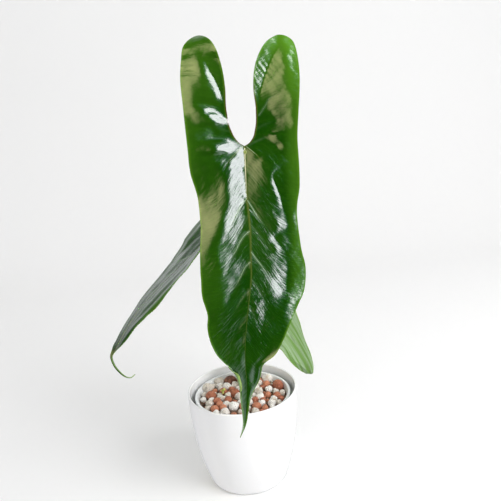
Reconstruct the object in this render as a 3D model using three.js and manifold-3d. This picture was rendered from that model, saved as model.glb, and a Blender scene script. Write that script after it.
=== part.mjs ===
// A potted anthurium: three long hanging leaves with ear-like back lobes, on a short rooted stem, in a thin
// nursery pot full of clay pebbles and pumice that stands inside a white tapered cover pot.
// Millimetres, +Z up. The origin is the centre of the cover pot's flat underside, and the front is -Y.
import * as THREE from "three";
import { mergeVertices } from "three/addons/utils/BufferGeometryUtils.js";
import Module from "manifold-3d";

const wasm = await Module();
wasm.setup();

// Clearance between neighbouring pieces
const GAP = 0.3;

// Cover pot: the wall bulges from the base radius to the rim radius as 1 - (1 - z / height) ^ bulge
const POT = {
  height: 112, rimRadius: 62.5, baseRadius: 45, bulge: 2.25, wall: 2.2, floor: 3, corner: 3, sides: 36,
};

// Nursery pot: a straight taper under a flanged lip
const NURSERY = {
  baseRadius: 38, neckRadius: 51.6, neckZ: 101.2, lipRadius: 55, lipMouth: 52, lipZ: 105,
  wall: 1.2, floor: 1.5, corner: 1.5, sides: 36,
  drain: { count: 6, radius: 1.9, ring: 24 },
};

// Potting mix: a level bed with half-sunk stones over it
const BED_TOP = 99.5;
const STONES = { seed: 7, most: 84, tries: 6000, smallest: 3.6, largest: 6.2, closest: 0.9, lift: 0.34 };

// The stones that stand out at the front: x, y, radius, and whether each is baked clay or pumice
const LANDMARK_STONES = [
  [-36.8, 4.4, 6.1, "clay"], [-17.2, -9.0, 4.7, "clay"], [-27.0, -16.2, 4.3, "clay"], [-8.8, 5.9, 5.6, "clay"],
  [-13.8, 36.5, 7.2, "clay"], [-22.5, 12.1, 5.0, "clay"], [42.4, 14.2, 7.1, "clay"], [28.5, -4.1, 4.1, "clay"],
  [38.8, -7.6, 4.3, "clay"], [29.3, 20.5, 4.6, "clay"], [22.1, -15.9, 3.7, "clay"], [22.8, -35.0, 4.0, "clay"],
  [-32.5, -26.3, 5.0, "clay"], [13.5, -14.2, 4.1, "clay"],
  [-40.0, 23.0, 6.8, "pumice"], [-27.0, 38.0, 6.0, "pumice"], [-11.4, -24.9, 5.9, "pumice"],
  [-20.5, -36.0, 5.0, "pumice"], [31.5, 34.0, 6.1, "pumice"], [30.8, 8.8, 4.8, "pumice"],
  [45.4, -2.6, 4.0, "pumice"], [19.4, 4.0, 5.2, "pumice"], [31.3, -23.4, 4.7, "pumice"],
  [-38.6, -12.3, 5.1, "pumice"], [13.0, -40.5, 4.9, "pumice"], [3.5, -31.1, 4.4, "pumice"],
];

// Stem: a short upright stock, its path and radius from the buried crown to the growing tip
const STEM = {
  path: [[7, 22, 56], [7, 22, 84], [7, 21.5, 110], [7, 21, 131]],
  radius: [[0, 4.5], [0.12, 6.8], [0.5, 7.4], [0.72, 7], [0.78, 7.6], [0.86, 6.6], [0.95, 5], [1, 2.6]],
  axis: [7, 21.4], girth: 7.6, sides: 12, steps: 12,
};

// Thick young roots that leave the stem and dive into the mix, each with its own path
const ROOTS = [
  [[7, 24, 109], [8, 33, 108.5], [8.5, 39, 103], [8.5, 42, 92]],
  [[9, 23, 112], [14.5, 29.5, 111], [17, 33.5, 104], [18, 35, 92]],
  [[5, 23, 107], [1.5, 31, 107.5], [-0.5, 35, 101], [-1, 36.5, 90]],
];
const ROOT = { radius: [[0, 2.3], [0.8, 2.1], [1, 1.2]], sides: 7, steps: 6 };

// Leaf stalks: path from the stem to the blade, ending square to the blade's underside
const STALKS = {
  front: [[7, 17, 113], [8, 11, 128], [10.5, 5, 170], [14, -9, 240], [18, -31, 315], [21, -53, 366],
    [22, -61.5, 381], [22.2, -66.4, 384.6], [22.2, -70.6, 385.2]],
  left: [[3, 23, 117], [-2.5, 25, 130], [-6, 28.5, 175], [-6.5, 30.5, 235], [-4.5, 29.5, 268],
    [-6, 28.5, 281], [-10.4, 27.3, 287.6], [-15, 26, 292.3]],
  right: [[10, 24, 115], [14, 28, 128], [19.5, 35, 165], [26, 45, 205], [30, 50.5, 224],
    [30, 54.5, 231.5], [27.6, 59.5, 234.6], [25.6, 63.9, 235.9]],
};
const STALK = {
  radius: [[0, 4.2], [0.05, 3.7], [0.14, 2.8], [0.86, 2.55], [0.91, 2.7], [0.94, 3.6], [0.975, 3.7], [1, 3.3]],
  sides: 8, steps: 26,
};

// Papery sheaths round the stem: the direction each faces, its foot and its tip
const SHEATHS = [
  { turn: -25, footZ: 110, tipZ: 147, flare: 5 },
  { turn: 215, footZ: 111, tipZ: 141, flare: 4 },
  { turn: 95, footZ: 112, tipZ: 156, flare: 6 },
];
const SHEATH = { halfTurn: 46, tipShare: 0.07, thickness: 0.7, rows: 6, columns: 5 };

// Leaf outline, the same for every leaf. Distance along the midrib runs from the tops of the back lobes
// through 0, where the stalk joins, to the drip tip. Each row is that distance and a distance from the midrib.
const LOBE_TOP = -98;
const LOBE_CAP = -86;
const TIP = 288;
const OUTER_EDGE = {
  left: [[-98, 38], [-96, 44], [-94, 47.1], [-89, 51.2], [-79, 53.7], [-63, 55.4], [-33, 54.1], [0, 52.7],
    [24, 51.2], [44, 46], [65, 45.5], [102, 47.3], [125, 47.1], [145, 44], [163, 37.2], [172, 36.9],
    [190, 31.2], [199, 26.5], [208, 19], [216, 10.8], [226, 8], [250, 5.6], [266, 3], [288, 0]],
  right: [[-98, 33.8], [-96, 41], [-92, 45.4], [-84, 48.5], [-60, 51.6], [-28, 50], [-4, 48.7], [36, 49.7],
    [71, 45.2], [93, 48], [118, 51], [131, 50.5], [145, 46.5], [170, 39.7], [187, 34.3], [200, 28],
    [212, 18.2], [219, 15.4], [226, 13.4], [237, 7.5], [247, 4.2], [268, 1.9], [288, 0]],
};
const SINUS_EDGE = {
  left: [[-98, 38], [-96, 32.8], [-92, 27.4], [-84, 22.3], [-73, 18.6], [-53, 15.9], [-31, 15.2],
    [-15, 11.5], [-6, 6.2], [0, 0]],
  right: [[-98, 33.8], [-96, 29.5], [-92, 23.4], [-83, 17.1], [-72, 12.5], [-51, 9.9], [-31, 11.2],
    [-15, 9], [-6, 5.2], [0, 0]],
};

// The main side vein: bare along the sinus, out into the lobe one way and round inside the margin the other
const MAIN_VEIN = [[-98, 34.2], [-92, 37.5], [-86, 36], [-75, 31.5], [-64, 26.5], [-53, 21.5], [-42, 17.7],
  [-31, 15.6], [-15, 11.4], [-6, 6.2], [0, 1.4], [3, 4.6], [9, 11], [15, 16], [28, 22], [50, 29], [75, 34],
  [105, 36], [135, 36], [155, 33], [175, 27], [195, 17], [208, 9.5], [220, 5], [250, 2.4], [288, 0]];

const BLADE = {
  thickness: 0.9, keel: 1.7, keelEnd: 230, valleyReach: 8, valleySoftness: 1.2, nakedRib: 1.3,
  waveFrom: 50, waveLength: 86,
};

// Each leaf: where its midrib runs, which way its upper face looks, how broad it is, how the halves rise from
// the midrib and droop again, how deep the main vein lies, and how its margins wave, curl and turn. Each row
// starts with the distance along the midrib. Turns are in radians, and a turn above zero curls up and inwards.
const LEAVES = {
  front: {
    spine: [[-98, 26.3, -61, 489.3], [-76, 25.3, -64.5, 466.4], [-50, 24.2, -66, 440.9], [0, 22.2, -70, 391],
      [47.8, 20.3, -78, 343.9],
      [77.7, 20.7, -84, 314.6], [103.8, 19, -89, 289], [122.3, 17.8, -92, 270.8], [140.8, 14.5, -95, 252.9],
      [160.2, 10.9, -97, 233.9], [183.2, 7.2, -98, 211.2], [210.1, 4.9, -98, 184.4], [230.9, 4.9, -97, 163.7],
      [247.6, 3.1, -96, 147.1], [260.7, 1.6, -96, 134.1], [275.6, -1.1, -97, 119.4], [288, -6.2, -100, 108.4]],
    facing: [[-98, 0, -1, 0], [288, 0, -1, 0]],
    breadth: { left: [[-98, 1], [288, 1]], right: [[-98, 1], [288, 1]] },
    rise: [[-98, 0.2], [0, 0.2], [60, 0.25], [150, 0.22], [200, 0.3], [215, 0.7], [240, 0.9], [270, 0.8],
      [288, 0.5]],
    droop: [[-98, 0.22], [0, 0.2], [60, 0.24], [150, 0.24], [200, 0.2], [215, 0], [288, 0]],
    valley: [[-98, 2.5], [-60, 3], [-30, 1.5], [-10, 0.6], [2, 0.8], [20, 2.4], [150, 2.4], [195, 1.6],
      [215, 0.4], [230, 0], [288, 0]],
    wave: { height: 2.5, left: 0.6, right: 2.4 },
    turn: {
      left: [[-98, -0.2], [200, -0.2], [212, 0.6], [220, 2.6], [236, 3], [250, 2.4], [264, 1.2], [288, 0.3]],
      right: [[-98, -0.25], [205, -0.3], [214, -1.2], [226, -1.2], [236, -0.2], [288, -0.1]],
    },
    band: {
      left: [[-98, 1.5], [205, 1.8], [213, 4.5], [221, 7.5], [236, 6.5], [250, 5], [262, 3], [288, 1]],
      right: [[-98, 1.5], [205, 2], [214, 4], [226, 4], [236, 2], [288, 1]],
    },
    size: 1, rows: 44, inner: [0, 0.07, 0.33, 0.66, 1], outer: [0.33, 0.66, 1],
  },
  left: {
    spine: [[-98, 26, 46, 352], [-50, 8, 38, 324], [0, -14, 26, 294.5], [30, -32, 20, 281], [68, -56, 11, 262],
      [114, -85, -1, 239], [148, -105, -8, 222], [184, -124, -15, 200], [212, -135, -20, 181],
      [224, -137.4, -21, 173.5], [236, -136, -21, 164.3], [249, -132, -20, 155.2], [262, -126.8, -18, 147.4],
      [275, -121.2, -16, 144.4], [288, -116.4, -14, 146.7]],
    facing: [[-98, -0.66, -0.25, 0.67], [0, -0.66, -0.24, 0.67], [45, -0.66, -0.14, 0.67],
      [120, -0.66, -0.11, 0.67], [200, -0.6, -0.2, 0.6], [225, -0.8, -0.5, 0.3], [250, -0.7, -0.6, -0.2],
      [288, 0.3, -0.7, -0.6]],
    breadth: {
      left: [[-98, 1], [110, 1], [150, 0.86], [185, 0.66], [205, 0.5], [225, 0.34], [288, 0.3]],
      right: [[-98, 1], [110, 0.96], [150, 0.9], [185, 0.74], [205, 0.54], [225, 0.36], [288, 0.3]],
    },
    rise: [[-98, 0.2], [-20, 0.25], [10, 0.36], [35, 0.46], [50, 0.36], [70, 0.22], [150, 0.17], [200, 0.3], [215, 0.5],
      [240, 0.9], [270, 0.8], [288, 0.5]],
    droop: [[-98, 0.22], [0, 0.2], [150, 0.2], [200, 0.2], [215, 0], [288, 0]],
    valley: [[-98, 2.5], [-60, 3], [-30, 1.5], [-10, 0.6], [2, 0.8], [20, 2.4], [150, 2.4], [195, 1.6],
      [215, 0.4], [230, 0], [288, 0]],
    wave: { height: 3.5, left: 2, right: 0.4 },
    turn: { left: [[-98, -0.2], [288, -0.2]], right: [[-98, -0.25], [288, -0.2]] },
    band: { left: [[-98, 1.5], [288, 1]], right: [[-98, 1.5], [288, 1]] },
    size: 0.8, rows: 30, inner: [0, 0.08, 0.5, 1], outer: [0.5, 1],
  },
  right: {
    spine: [[-98, 8, 92, 310], [-50, 12, 78, 279], [0, 23, 64, 240], [60, 43, 68, 197], [128, 64.5, 72, 144],
      [168, 80.5, 74, 113.5], [195, 88.8, 77, 94.5], [212, 92, 81.5, 82.5], [232, 94, 93, 77], [252, 91, 104, 82],
      [270, 86, 110, 93], [288, 82, 111, 106]],
    facing: [[-98, -0.2, 0.9, 0.25], [0, -0.4, 0.88, 0.2], [200, -0.45, 0.85, 0.15], [220, -0.3, 0.8, 0.5],
      [245, -0.3, 0.2, 0.9], [262, -0.4, -0.4, 0.8], [288, -0.6, -0.8, 0.1]],
    breadth: {
      left: [[-98, 0.95], [100, 0.95], [140, 0.82], [170, 0.5], [195, 0.34], [215, 0.36], [288, 0.4]],
      right: [[-98, 0.95], [60, 0.95], [110, 0.82], [150, 0.66], [190, 0.55], [215, 0.5], [288, 0.5]],
    },
    rise: [[-98, 0.25], [0, 0.35], [60, 0.5], [150, 0.55], [200, 0.5], [215, 0.6], [240, 0.8], [270, 0.8],
      [288, 0.5]],
    droop: [[-98, 0.22], [0, 0.2], [60, 0.12], [150, 0.1], [200, 0.1], [215, 0], [288, 0]],
    valley: [[-98, 2.5], [-60, 3], [-30, 1.5], [-10, 0.6], [2, 0.8], [20, 2.4], [150, 2.4], [195, 1.6],
      [215, 0.4], [230, 0], [288, 0]],
    wave: { height: 2.5, left: 2, right: 0.4 },
    turn: { left: [[-98, -0.2], [288, -0.2]], right: [[-98, -0.25], [288, -0.2]] },
    band: { left: [[-98, 1.5], [288, 1]], right: [[-98, 1.5], [288, 1]] },
    size: 0.8, rows: 30, inner: [0, 0.08, 0.5, 1], outer: [0.5, 1],
  },
};

const material = (color, roughness) => new THREE.MeshStandardMaterial({ color, roughness, metalness: 0 });
const FINISH = {
  coverPot: material(0xf2f2f0, 0.2),
  nurseryPot: material(0xd8dbda, 0.4),
  mix: material(0xa9765f, 0.9),
  stem: material(0x6f8a45, 0.6),
  stalk: material(0x4f7f2c, 0.45),
  sheath: material(0xb39462, 0.8),
  blade: material(0x1f5a14, 0.3),
};

// A mesh that is merged by place and free of collapsed triangles, as a solid that can be joined and cut
function solidOf(geometry) {
  const bare = geometry.index ? geometry.toNonIndexed() : geometry.clone();
  bare.deleteAttribute("normal");
  bare.deleteAttribute("uv");
  const merged = mergeVertices(bare, 1e-4);
  const corners = [];
  for (let i = 0; i < merged.index.count; i += 3) {
    const [a, b, c] = [0, 1, 2].map((k) => merged.index.getX(i + k));
    if (a !== b && b !== c && c !== a) corners.push(a, b, c);
  }
  return new wasm.Manifold(new wasm.Mesh({
    numProp: 3,
    vertProperties: new Float32Array(merged.getAttribute("position").array),
    triVerts: new Uint32Array(corners),
  }));
}

function geometryOf(solid) {
  const { vertProperties, triVerts } = solid.getMesh();
  const geometry = new THREE.BufferGeometry();
  geometry.setAttribute("position", new THREE.BufferAttribute(vertProperties, 3));
  geometry.setIndex(new THREE.BufferAttribute(triVerts, 1));
  geometry.computeVertexNormals();
  return geometry;
}

const largestBody = (solid) => solid.decompose().reduce((best, body) => (
  body.volume() > best.volume() ? body : best
));

// A profile of [radius, height] points turned round +Z
function turned(profile, sides) {
  const points = profile.map(([radius, z]) => new THREE.Vector2(radius, z));
  return new THREE.LatheGeometry(points, sides).rotateX(Math.PI / 2);
}

// Value at x on the smooth curve through a table whose rows start with x: cubic pieces whose slope at each
// row is the mean of its two neighbours' slopes, weighed by the opposite span
function smooth(table, x) {
  const last = table.length - 1;
  let i = 0;
  while (i < last - 1 && x >= table[i + 1][0]) i += 1;
  const span = (k) => table[k + 1][0] - table[k][0];
  const chord = (k, c) => (table[k + 1][c] - table[k][c]) / span(k);
  const slope = (k, c) => {
    if (k === 0) return chord(0, c);
    if (k === last) return chord(last - 1, c);
    return (chord(k, c) * span(k - 1) + chord(k - 1, c) * span(k)) / (span(k - 1) + span(k));
  };
  const h = span(i);
  const w = (x - table[i][0]) / h;
  return table[i].slice(1).map((value, n) => {
    const c = n + 1;
    return (2 * w ** 3 - 3 * w ** 2 + 1) * value + (w ** 3 - 2 * w ** 2 + w) * h * slope(i, c)
      + (3 * w ** 2 - 2 * w ** 3) * table[i + 1][c] + (w ** 3 - w ** 2) * h * slope(i + 1, c);
  });
}

// Value at x on the straight pieces between the rows of a table
function between(table, x) {
  const last = table.length - 1;
  let i = 0;
  while (i < last - 1 && x >= table[i + 1][0]) i += 1;
  const w = Math.min(Math.max((x - table[i][0]) / (table[i + 1][0] - table[i][0]), 0), 1);
  return table[i][1] + (table[i + 1][1] - table[i][1]) * w;
}

// An outline is smooth in the square root of the distance from the lobe tops, which makes the tops round
function outline(table, s) {
  const root = (v) => Math.sqrt(Math.max(v - LOBE_TOP, 0));
  return smooth(table.map(([at, width]) => [root(at), width]), root(s))[0];
}

// A round stalk of changing radius along a path, closed at both ends
function stalk(path, { radius, sides, steps }, grow = 0) {
  const curve = new THREE.CatmullRomCurve3(path.map((p) => new THREE.Vector3(...p)), false, "centripetal");
  const { normals, binormals } = curve.computeFrenetFrames(steps, false);
  const points = [];
  const corners = [];
  for (let i = 0; i <= steps; i += 1) {
    const centre = curve.getPointAt(i / steps);
    const r = smooth(radius, i / steps)[0] + grow;
    for (let j = 0; j < sides; j += 1) {
      const angle = (2 * Math.PI * j) / sides;
      points.push(centre.clone().addScaledVector(normals[i], r * Math.cos(angle))
        .addScaledVector(binormals[i], r * Math.sin(angle)));
    }
  }
  for (let i = 0; i < steps; i += 1) {
    for (let j = 0; j < sides; j += 1) {
      const a = i * sides + j;
      const b = i * sides + ((j + 1) % sides);
      corners.push(a, b, a + sides, b, b + sides, a + sides);
    }
  }
  const ends = [points.length, points.length + 1];
  points.push(curve.getPointAt(0), curve.getPointAt(1));
  for (let j = 0; j < sides; j += 1) {
    const next = (j + 1) % sides;
    corners.push(ends[0], next, j);
    corners.push(ends[1], steps * sides + j, steps * sides + next);
  }
  return solidOf(facetted(points, corners));
}

function facetted(points, corners) {
  const geometry = new THREE.BufferGeometry().setFromPoints(points);
  geometry.setIndex(corners);
  return geometry;
}

// Turns an open sheet of triangles into a closed one: a second face lies under it along its normals, split
// into the same triangles, and each free edge gets a wall
function thickened(points, corners, thicknessAt, grow = 0) {
  const sheet = facetted(points, corners);
  sheet.computeVertexNormals();
  const normals = sheet.getAttribute("normal");
  const normal = new THREE.Vector3();
  const count = points.length;
  const both = [];
  points.forEach((p, i) => {
    normal.fromBufferAttribute(normals, i);
    both.push(p.clone().addScaledVector(normal, grow));
  });
  points.forEach((p, i) => {
    normal.fromBufferAttribute(normals, i);
    both.push(p.clone().addScaledVector(normal, -thicknessAt(i) - grow));
  });
  const edges = new Set();
  const faces = [];
  for (let i = 0; i < corners.length; i += 3) {
    const [a, b, c] = corners.slice(i, i + 3);
    faces.push(a, b, c, a + count, c + count, b + count);
    [[a, b], [b, c], [c, a]].forEach(([from, to]) => edges.add(`${from},${to}`));
  }
  edges.forEach((edge) => {
    const [from, to] = edge.split(",").map(Number);
    if (!edges.has(`${to},${from}`)) faces.push(to, from, from + count, to, from + count, to + count);
  });
  return solidOf(facetted(both, faces));
}

// Half a blade's section at distance s: [distance from the midrib, height over the midrib] of each column
function halfSection(leaf, side, s) {
  const margin = outline(OUTER_EDGE[side], s);
  const inside = s < 0 ? outline(SINUS_EDGE[side], s) : 0;
  const turn = between(leaf.turn[side], s);
  const band = Math.min(between(leaf.band[side], s), 0.45 * (margin - inside));
  const reach = Math.abs(turn) > Math.PI / 2 ? band / Math.abs(turn) : (band * Math.sin(turn)) / turn;
  const bandStart = margin - reach;
  const free = bandStart - inside;
  const rib = Math.min(BLADE.nakedRib, 0.3 * free);
  const veinAt = outline(MAIN_VEIN, s);
  const vein = Math.min(Math.max(veinAt, inside + rib), bandStart - 0.25 * free);
  const along = outline(MAIN_VEIN, s + 0.5) - outline(MAIN_VEIN, s - 0.5);
  const square = 1 / Math.sqrt(1 + along ** 2);
  const depth = (x) => {
    const off = Math.hypot((x - vein) * square, BLADE.valleySoftness) - BLADE.valleySoftness;
    return between(leaf.valley, s) * Math.exp(-off / BLADE.valleyReach);
  };
  const height = (x) => {
    const arch = between(leaf.rise, s) * x - (between(leaf.droop, s) * x ** 2) / Math.max(margin, 1e-6);
    const seam = s >= 0 ? depth(0) * Math.exp(-x / 6) : 0;
    const phase = (2 * Math.PI * s) / BLADE.waveLength + leaf.wave[side];
    return arch - depth(x) + seam + leaf.wave.height * (x / BLADE.waveFrom) ** 3 * Math.sin(phase);
  };
  const places = [
    ...leaf.inner.map((f) => inside + (vein - inside) * f),
    ...leaf.outer.map((f) => vein + (bandStart - vein) * f),
  ];
  const section = places.map((x) => [x, height(x)]);
  const [x0, z0] = section.at(-2);
  const [x1, z1] = section.at(-1);
  const slope = Math.atan2(z1 - z0, Math.max(x1 - x0, 1e-6));
  [0.5, 1].forEach((f) => {
    const out = (band / turn) * Math.sin(turn * f);
    const up = (band / turn) * (1 - Math.cos(turn * f));
    const [cos, sin] = [Math.cos(slope), Math.sin(slope)];
    section.push([x1 + out * cos - up * sin, z1 + out * sin + up * cos]);
  });
  const breadth = between(leaf.breadth[side], s) * leaf.size;
  return section.map(([x, z]) => [x * breadth, z * breadth]);
}

// Distances along the midrib where a blade has its rows: close together round the lobe tops and the sinus
function rowPlaces(count) {
  const density = [[0, LOBE_TOP], [0.13, LOBE_CAP], [0.3, -12], [0.36, 0], [0.5, 28], [0.84, 200], [1, TIP]];
  const places = [];
  for (let i = 0; i <= count; i += 1) {
    const t = i / count;
    const cap = t / density[1][0];
    places.push(cap < 1 ? LOBE_TOP + (LOBE_CAP - LOBE_TOP) * cap ** 2 : between(density, t));
  }
  places[places.findIndex((s) => s > -3)] = 0;
  return places;
}

// A leaf blade: two halves of rows and columns that share the midrib beyond the sinus
function blade(leaf, grow = 0) {
  const rows = rowPlaces(leaf.rows);
  const points = [];
  const corners = [];
  const keel = new Map();
  const shared = new Map();
  const vertex = (point) => points.push(point) - 1;
  const spineAt = (s) => new THREE.Vector3(...smooth(leaf.spine, s));
  const halves = { left: [], right: [] };
  rows.forEach((s, i) => {
    const centre = spineAt(s);
    const tangent = spineAt(s + 0.5).sub(spineAt(s - 0.5)).normalize();
    const facing = new THREE.Vector3(...smooth(leaf.facing, s));
    facing.addScaledVector(tangent, -facing.dot(tangent)).normalize();
    const across = facing.clone().cross(tangent);
    [["left", -1], ["right", 1]].forEach(([side, sign]) => {
      const place = ([x, z]) => centre.clone().addScaledVector(across, sign * x).addScaledVector(facing, z);
      const section = halfSection(leaf, side, s);
      const isPoint = i === 0 || i === rows.length - 1;
      let ids;
      if (isPoint) {
        const key = i === 0 ? side : "tip";
        if (!shared.has(key)) shared.set(key, vertex(place(section[0])));
        ids = section.map(() => shared.get(key));
      } else {
        ids = section.map((p, j) => {
          if (j > 0 || s < 0) return vertex(place(p));
          if (!shared.has(s)) shared.set(s, vertex(centre.clone()));
          return shared.get(s);
        });
        if (s >= 0) keel.set(ids[0], BLADE.keel * Math.max(1 - s / BLADE.keelEnd, 0));
      }
      halves[side].push(ids);
    });
  });
  const face = (a, b, c) => {
    if (a !== b && b !== c && c !== a) corners.push(a, b, c);
  };
  ["left", "right"].forEach((side) => {
    const grid = halves[side];
    for (let i = 0; i < grid.length - 1; i += 1) {
      for (let j = 0; j < grid[i].length - 1; j += 1) {
        const [a, b, c, d] = [grid[i][j], grid[i][j + 1], grid[i + 1][j + 1], grid[i + 1][j]];
        if (side === "left") {
          face(a, b, c);
          face(a, c, d);
        } else {
          face(a, c, b);
          face(a, d, c);
        }
      }
    }
  });
  return thickened(points, corners, (i) => BLADE.thickness + (keel.get(i) ?? 0), grow);
}

// A papery sheath: a pointed strip that hugs the stem at its foot and leans away at its tip
function sheath({ turn, footZ, tipZ, flare }) {
  const points = [];
  const corners = [];
  const { halfTurn, tipShare, thickness, rows, columns } = SHEATH;
  const [axisX, axisY] = STEM.axis;
  for (let i = 0; i <= rows; i += 1) {
    const t = i / rows;
    const narrow = Math.sqrt(1 - (1 - tipShare) * t ** 2);
    const radius = STEM.girth + GAP + thickness + flare * t ** 2.2;
    for (let j = 0; j <= columns; j += 1) {
      const angle = THREE.MathUtils.degToRad(turn + halfTurn * narrow * ((2 * j) / columns - 1));
      points.push(new THREE.Vector3(axisX + radius * Math.cos(angle), axisY + radius * Math.sin(angle),
        footZ + (tipZ - footZ) * t));
    }
  }
  for (let i = 0; i < rows; i += 1) {
    for (let j = 0; j < columns; j += 1) {
      const a = i * (columns + 1) + j;
      corners.push(a, a + 1, a + columns + 2, a, a + columns + 2, a + columns + 1);
    }
  }
  return thickened(points, corners, () => thickness);
}

function coverPot() {
  const { height, rimRadius, baseRadius, bulge, wall, floor, corner, sides } = POT;
  const wallRadius = (z) => baseRadius + (rimRadius - baseRadius) * (1 - (1 - z / height) ** bulge);
  const outside = [3, 18, 36, 54, 74, 94, 111].map((z) => [wallRadius(z), z]);
  const inside = [111, 82, 54, 26, floor + 2].map((z) => [wallRadius(z) - wall, z]);
  const profile = [
    [0, 0], [wallRadius(0) - corner, 0], [wallRadius(0.8) - 0.8, 0.8], ...outside,
    [rimRadius - 0.5, height], [rimRadius - wall + 0.5, height], ...inside,
    [wallRadius(floor) - wall - 2, floor], [0, floor],
  ];
  return solidOf(turned(profile, sides));
}

// Radius of the nursery pot's inner wall at a height
function nurseryInside(z) {
  const { baseRadius, neckRadius, neckZ, wall, corner } = NURSERY;
  const foot = POT.floor + GAP + corner;
  return baseRadius - wall + ((neckRadius - baseRadius) * (z - foot)) / (neckZ - foot);
}

function nurseryPot() {
  const { baseRadius, neckRadius, neckZ, lipRadius, lipMouth, lipZ, floor, corner, sides, drain } = NURSERY;
  const footZ = POT.floor + GAP;
  const floorZ = footZ + floor;
  const profile = [
    [0, footZ], [baseRadius - corner, footZ], [baseRadius, footZ + corner],
    [neckRadius, neckZ], [lipRadius - 0.6, neckZ + 0.4], [lipRadius, neckZ + 1.2], [lipRadius, lipZ - 0.7],
    [lipRadius - 0.7, lipZ], [lipMouth + 0.6, lipZ], [lipMouth, lipZ - 0.7], [nurseryInside(99), 99],
    [nurseryInside(floorZ + corner), floorZ + corner], [nurseryInside(floorZ) - corner, floorZ], [0, floorZ],
  ];
  let pot = solidOf(turned(profile, sides));
  for (let i = 0; i < drain.count; i += 1) {
    const angle = (2 * Math.PI * i) / drain.count;
    const hole = new THREE.CylinderGeometry(drain.radius, drain.radius, 4 * floor, 10).rotateX(Math.PI / 2)
      .translate(drain.ring * Math.cos(angle), drain.ring * Math.sin(angle), footZ);
    pot = pot.subtract(solidOf(hole));
  }
  return pot;
}

// The same run of numbers from 0 to 1 each time
function randomRun(seed) {
  let state = seed;
  return () => {
    state = (state + 0x6d2b79f5) >>> 0;
    let t = Math.imul(state ^ (state >>> 15), 1 | state);
    t = (t + Math.imul(t ^ (t >>> 7), 61 | t)) ^ t;
    return ((t ^ (t >>> 14)) >>> 0) / 4294967296;
  };
}

// The landmark stones, and then as many more as find room on the bed
function placedStones() {
  const random = randomRun(STONES.seed);
  const stones = LANDMARK_STONES.map(([x, y, radius, kind]) => ({ x, y, radius, kind }));
  const room = nurseryInside(BED_TOP) - GAP - 0.2;
  const [stemX, stemY] = STEM.axis;
  for (let n = 0; n < STONES.tries && stones.length < STONES.most; n += 1) {
    const radius = STONES.smallest + (STONES.largest - STONES.smallest) * random() ** 1.6;
    const away = (room - radius) * Math.sqrt(random());
    const angle = 2 * Math.PI * random();
    const kind = random() < 0.5 ? "clay" : "pumice";
    const x = away * Math.cos(angle);
    const y = away * Math.sin(angle);
    const clear = stones.every((s) => Math.hypot(s.x - x, s.y - y) > STONES.closest * (s.radius + radius));
    const offStem = Math.hypot(x - stemX, y - stemY) > STEM.girth + 0.8 * radius;
    if (clear && offStem) stones.push({ x, y, radius, kind });
  }
  return stones;
}

function pottingMix(planted) {
  const random = randomRun(STONES.seed + 1);
  const footZ = POT.floor + GAP + NURSERY.floor + GAP;
  const edge = (z) => nurseryInside(z) - GAP;
  const bed = turned([
    [0, footZ], [edge(footZ) - NURSERY.corner - 1, footZ], [edge(footZ + 3), footZ + 3],
    [edge(BED_TOP), BED_TOP], [0, BED_TOP],
  ], NURSERY.sides);
  const stones = placedStones().map(({ x, y, radius, kind }) => {
    const isClay = kind === "clay";
    const shape = isClay
      ? new THREE.DodecahedronGeometry(radius * 1.07)
      : new THREE.IcosahedronGeometry(radius * 1.1);
    shape.rotateX(6 * random()).rotateY(6 * random()).rotateZ(6 * random());
    shape.scale(1, 1, isClay ? 0.94 : 0.88).translate(x, y, BED_TOP + STONES.lift * radius);
    return solidOf(shape);
  });
  const mouth = turned([
    [0, footZ], [edge(footZ), footZ], [edge(BED_TOP), BED_TOP], [edge(BED_TOP), POT.height], [0, POT.height],
  ], NURSERY.sides);
  const heap = wasm.Manifold.union([solidOf(bed), ...stones]).intersect(solidOf(mouth));
  return largestBody(heap.subtract(planted));
}

const grown = (grow) => wasm.Manifold.union([
  stalk(STEM.path, STEM, grow),
  ...ROOTS.map((path) => stalk(path, ROOT, grow)),
]);

// Every piece by name, with its finish
function pieces() {
  const stem = grown(0);
  const stemRoom = grown(GAP);
  const made = {
    cover_pot: [coverPot(), FINISH.coverPot],
    nursery_pot: [nurseryPot(), FINISH.nurseryPot],
    potting_mix: [pottingMix(stemRoom), FINISH.mix],
    stem: [stem, FINISH.stem],
  };
  const stalkRooms = [];
  Object.entries(LEAVES).forEach(([name, leaf]) => {
    const bladeRoom = blade(leaf, GAP);
    const petiole = stalk(STALKS[name], STALK).subtract(stemRoom).subtract(bladeRoom);
    made[`petiole_${name}`] = [largestBody(petiole), FINISH.stalk];
    made[`leaf_${name}`] = [blade(leaf), FINISH.blade];
    stalkRooms.push(stalk(STALKS[name], STALK, GAP));
  });
  const room = wasm.Manifold.union([stemRoom, ...stalkRooms]);
  SHEATHS.forEach((shape, i) => {
    made[`sheath_${i + 1}`] = [largestBody(sheath(shape).subtract(room)), FINISH.sheath];
  });
  return made;
}

const plant = new THREE.Group();
Object.entries(pieces()).forEach(([name, [solid, finish]]) => {
  const mesh = new THREE.Mesh(geometryOf(solid), finish);
  mesh.name = name;
  plant.add(mesh);
});

export default plant;
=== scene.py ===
"""Dresses the frame of a potted anthurium: three long hanging leaves with ear-like back lobes, a rooted
stem, baked clay pebbles and pumice in a milky nursery pot, and the white cover pot round it.

Sizes in the tables are millimetres, +Z is up, and the origin is the centre of the cover pot's flat
underside."""

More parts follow.
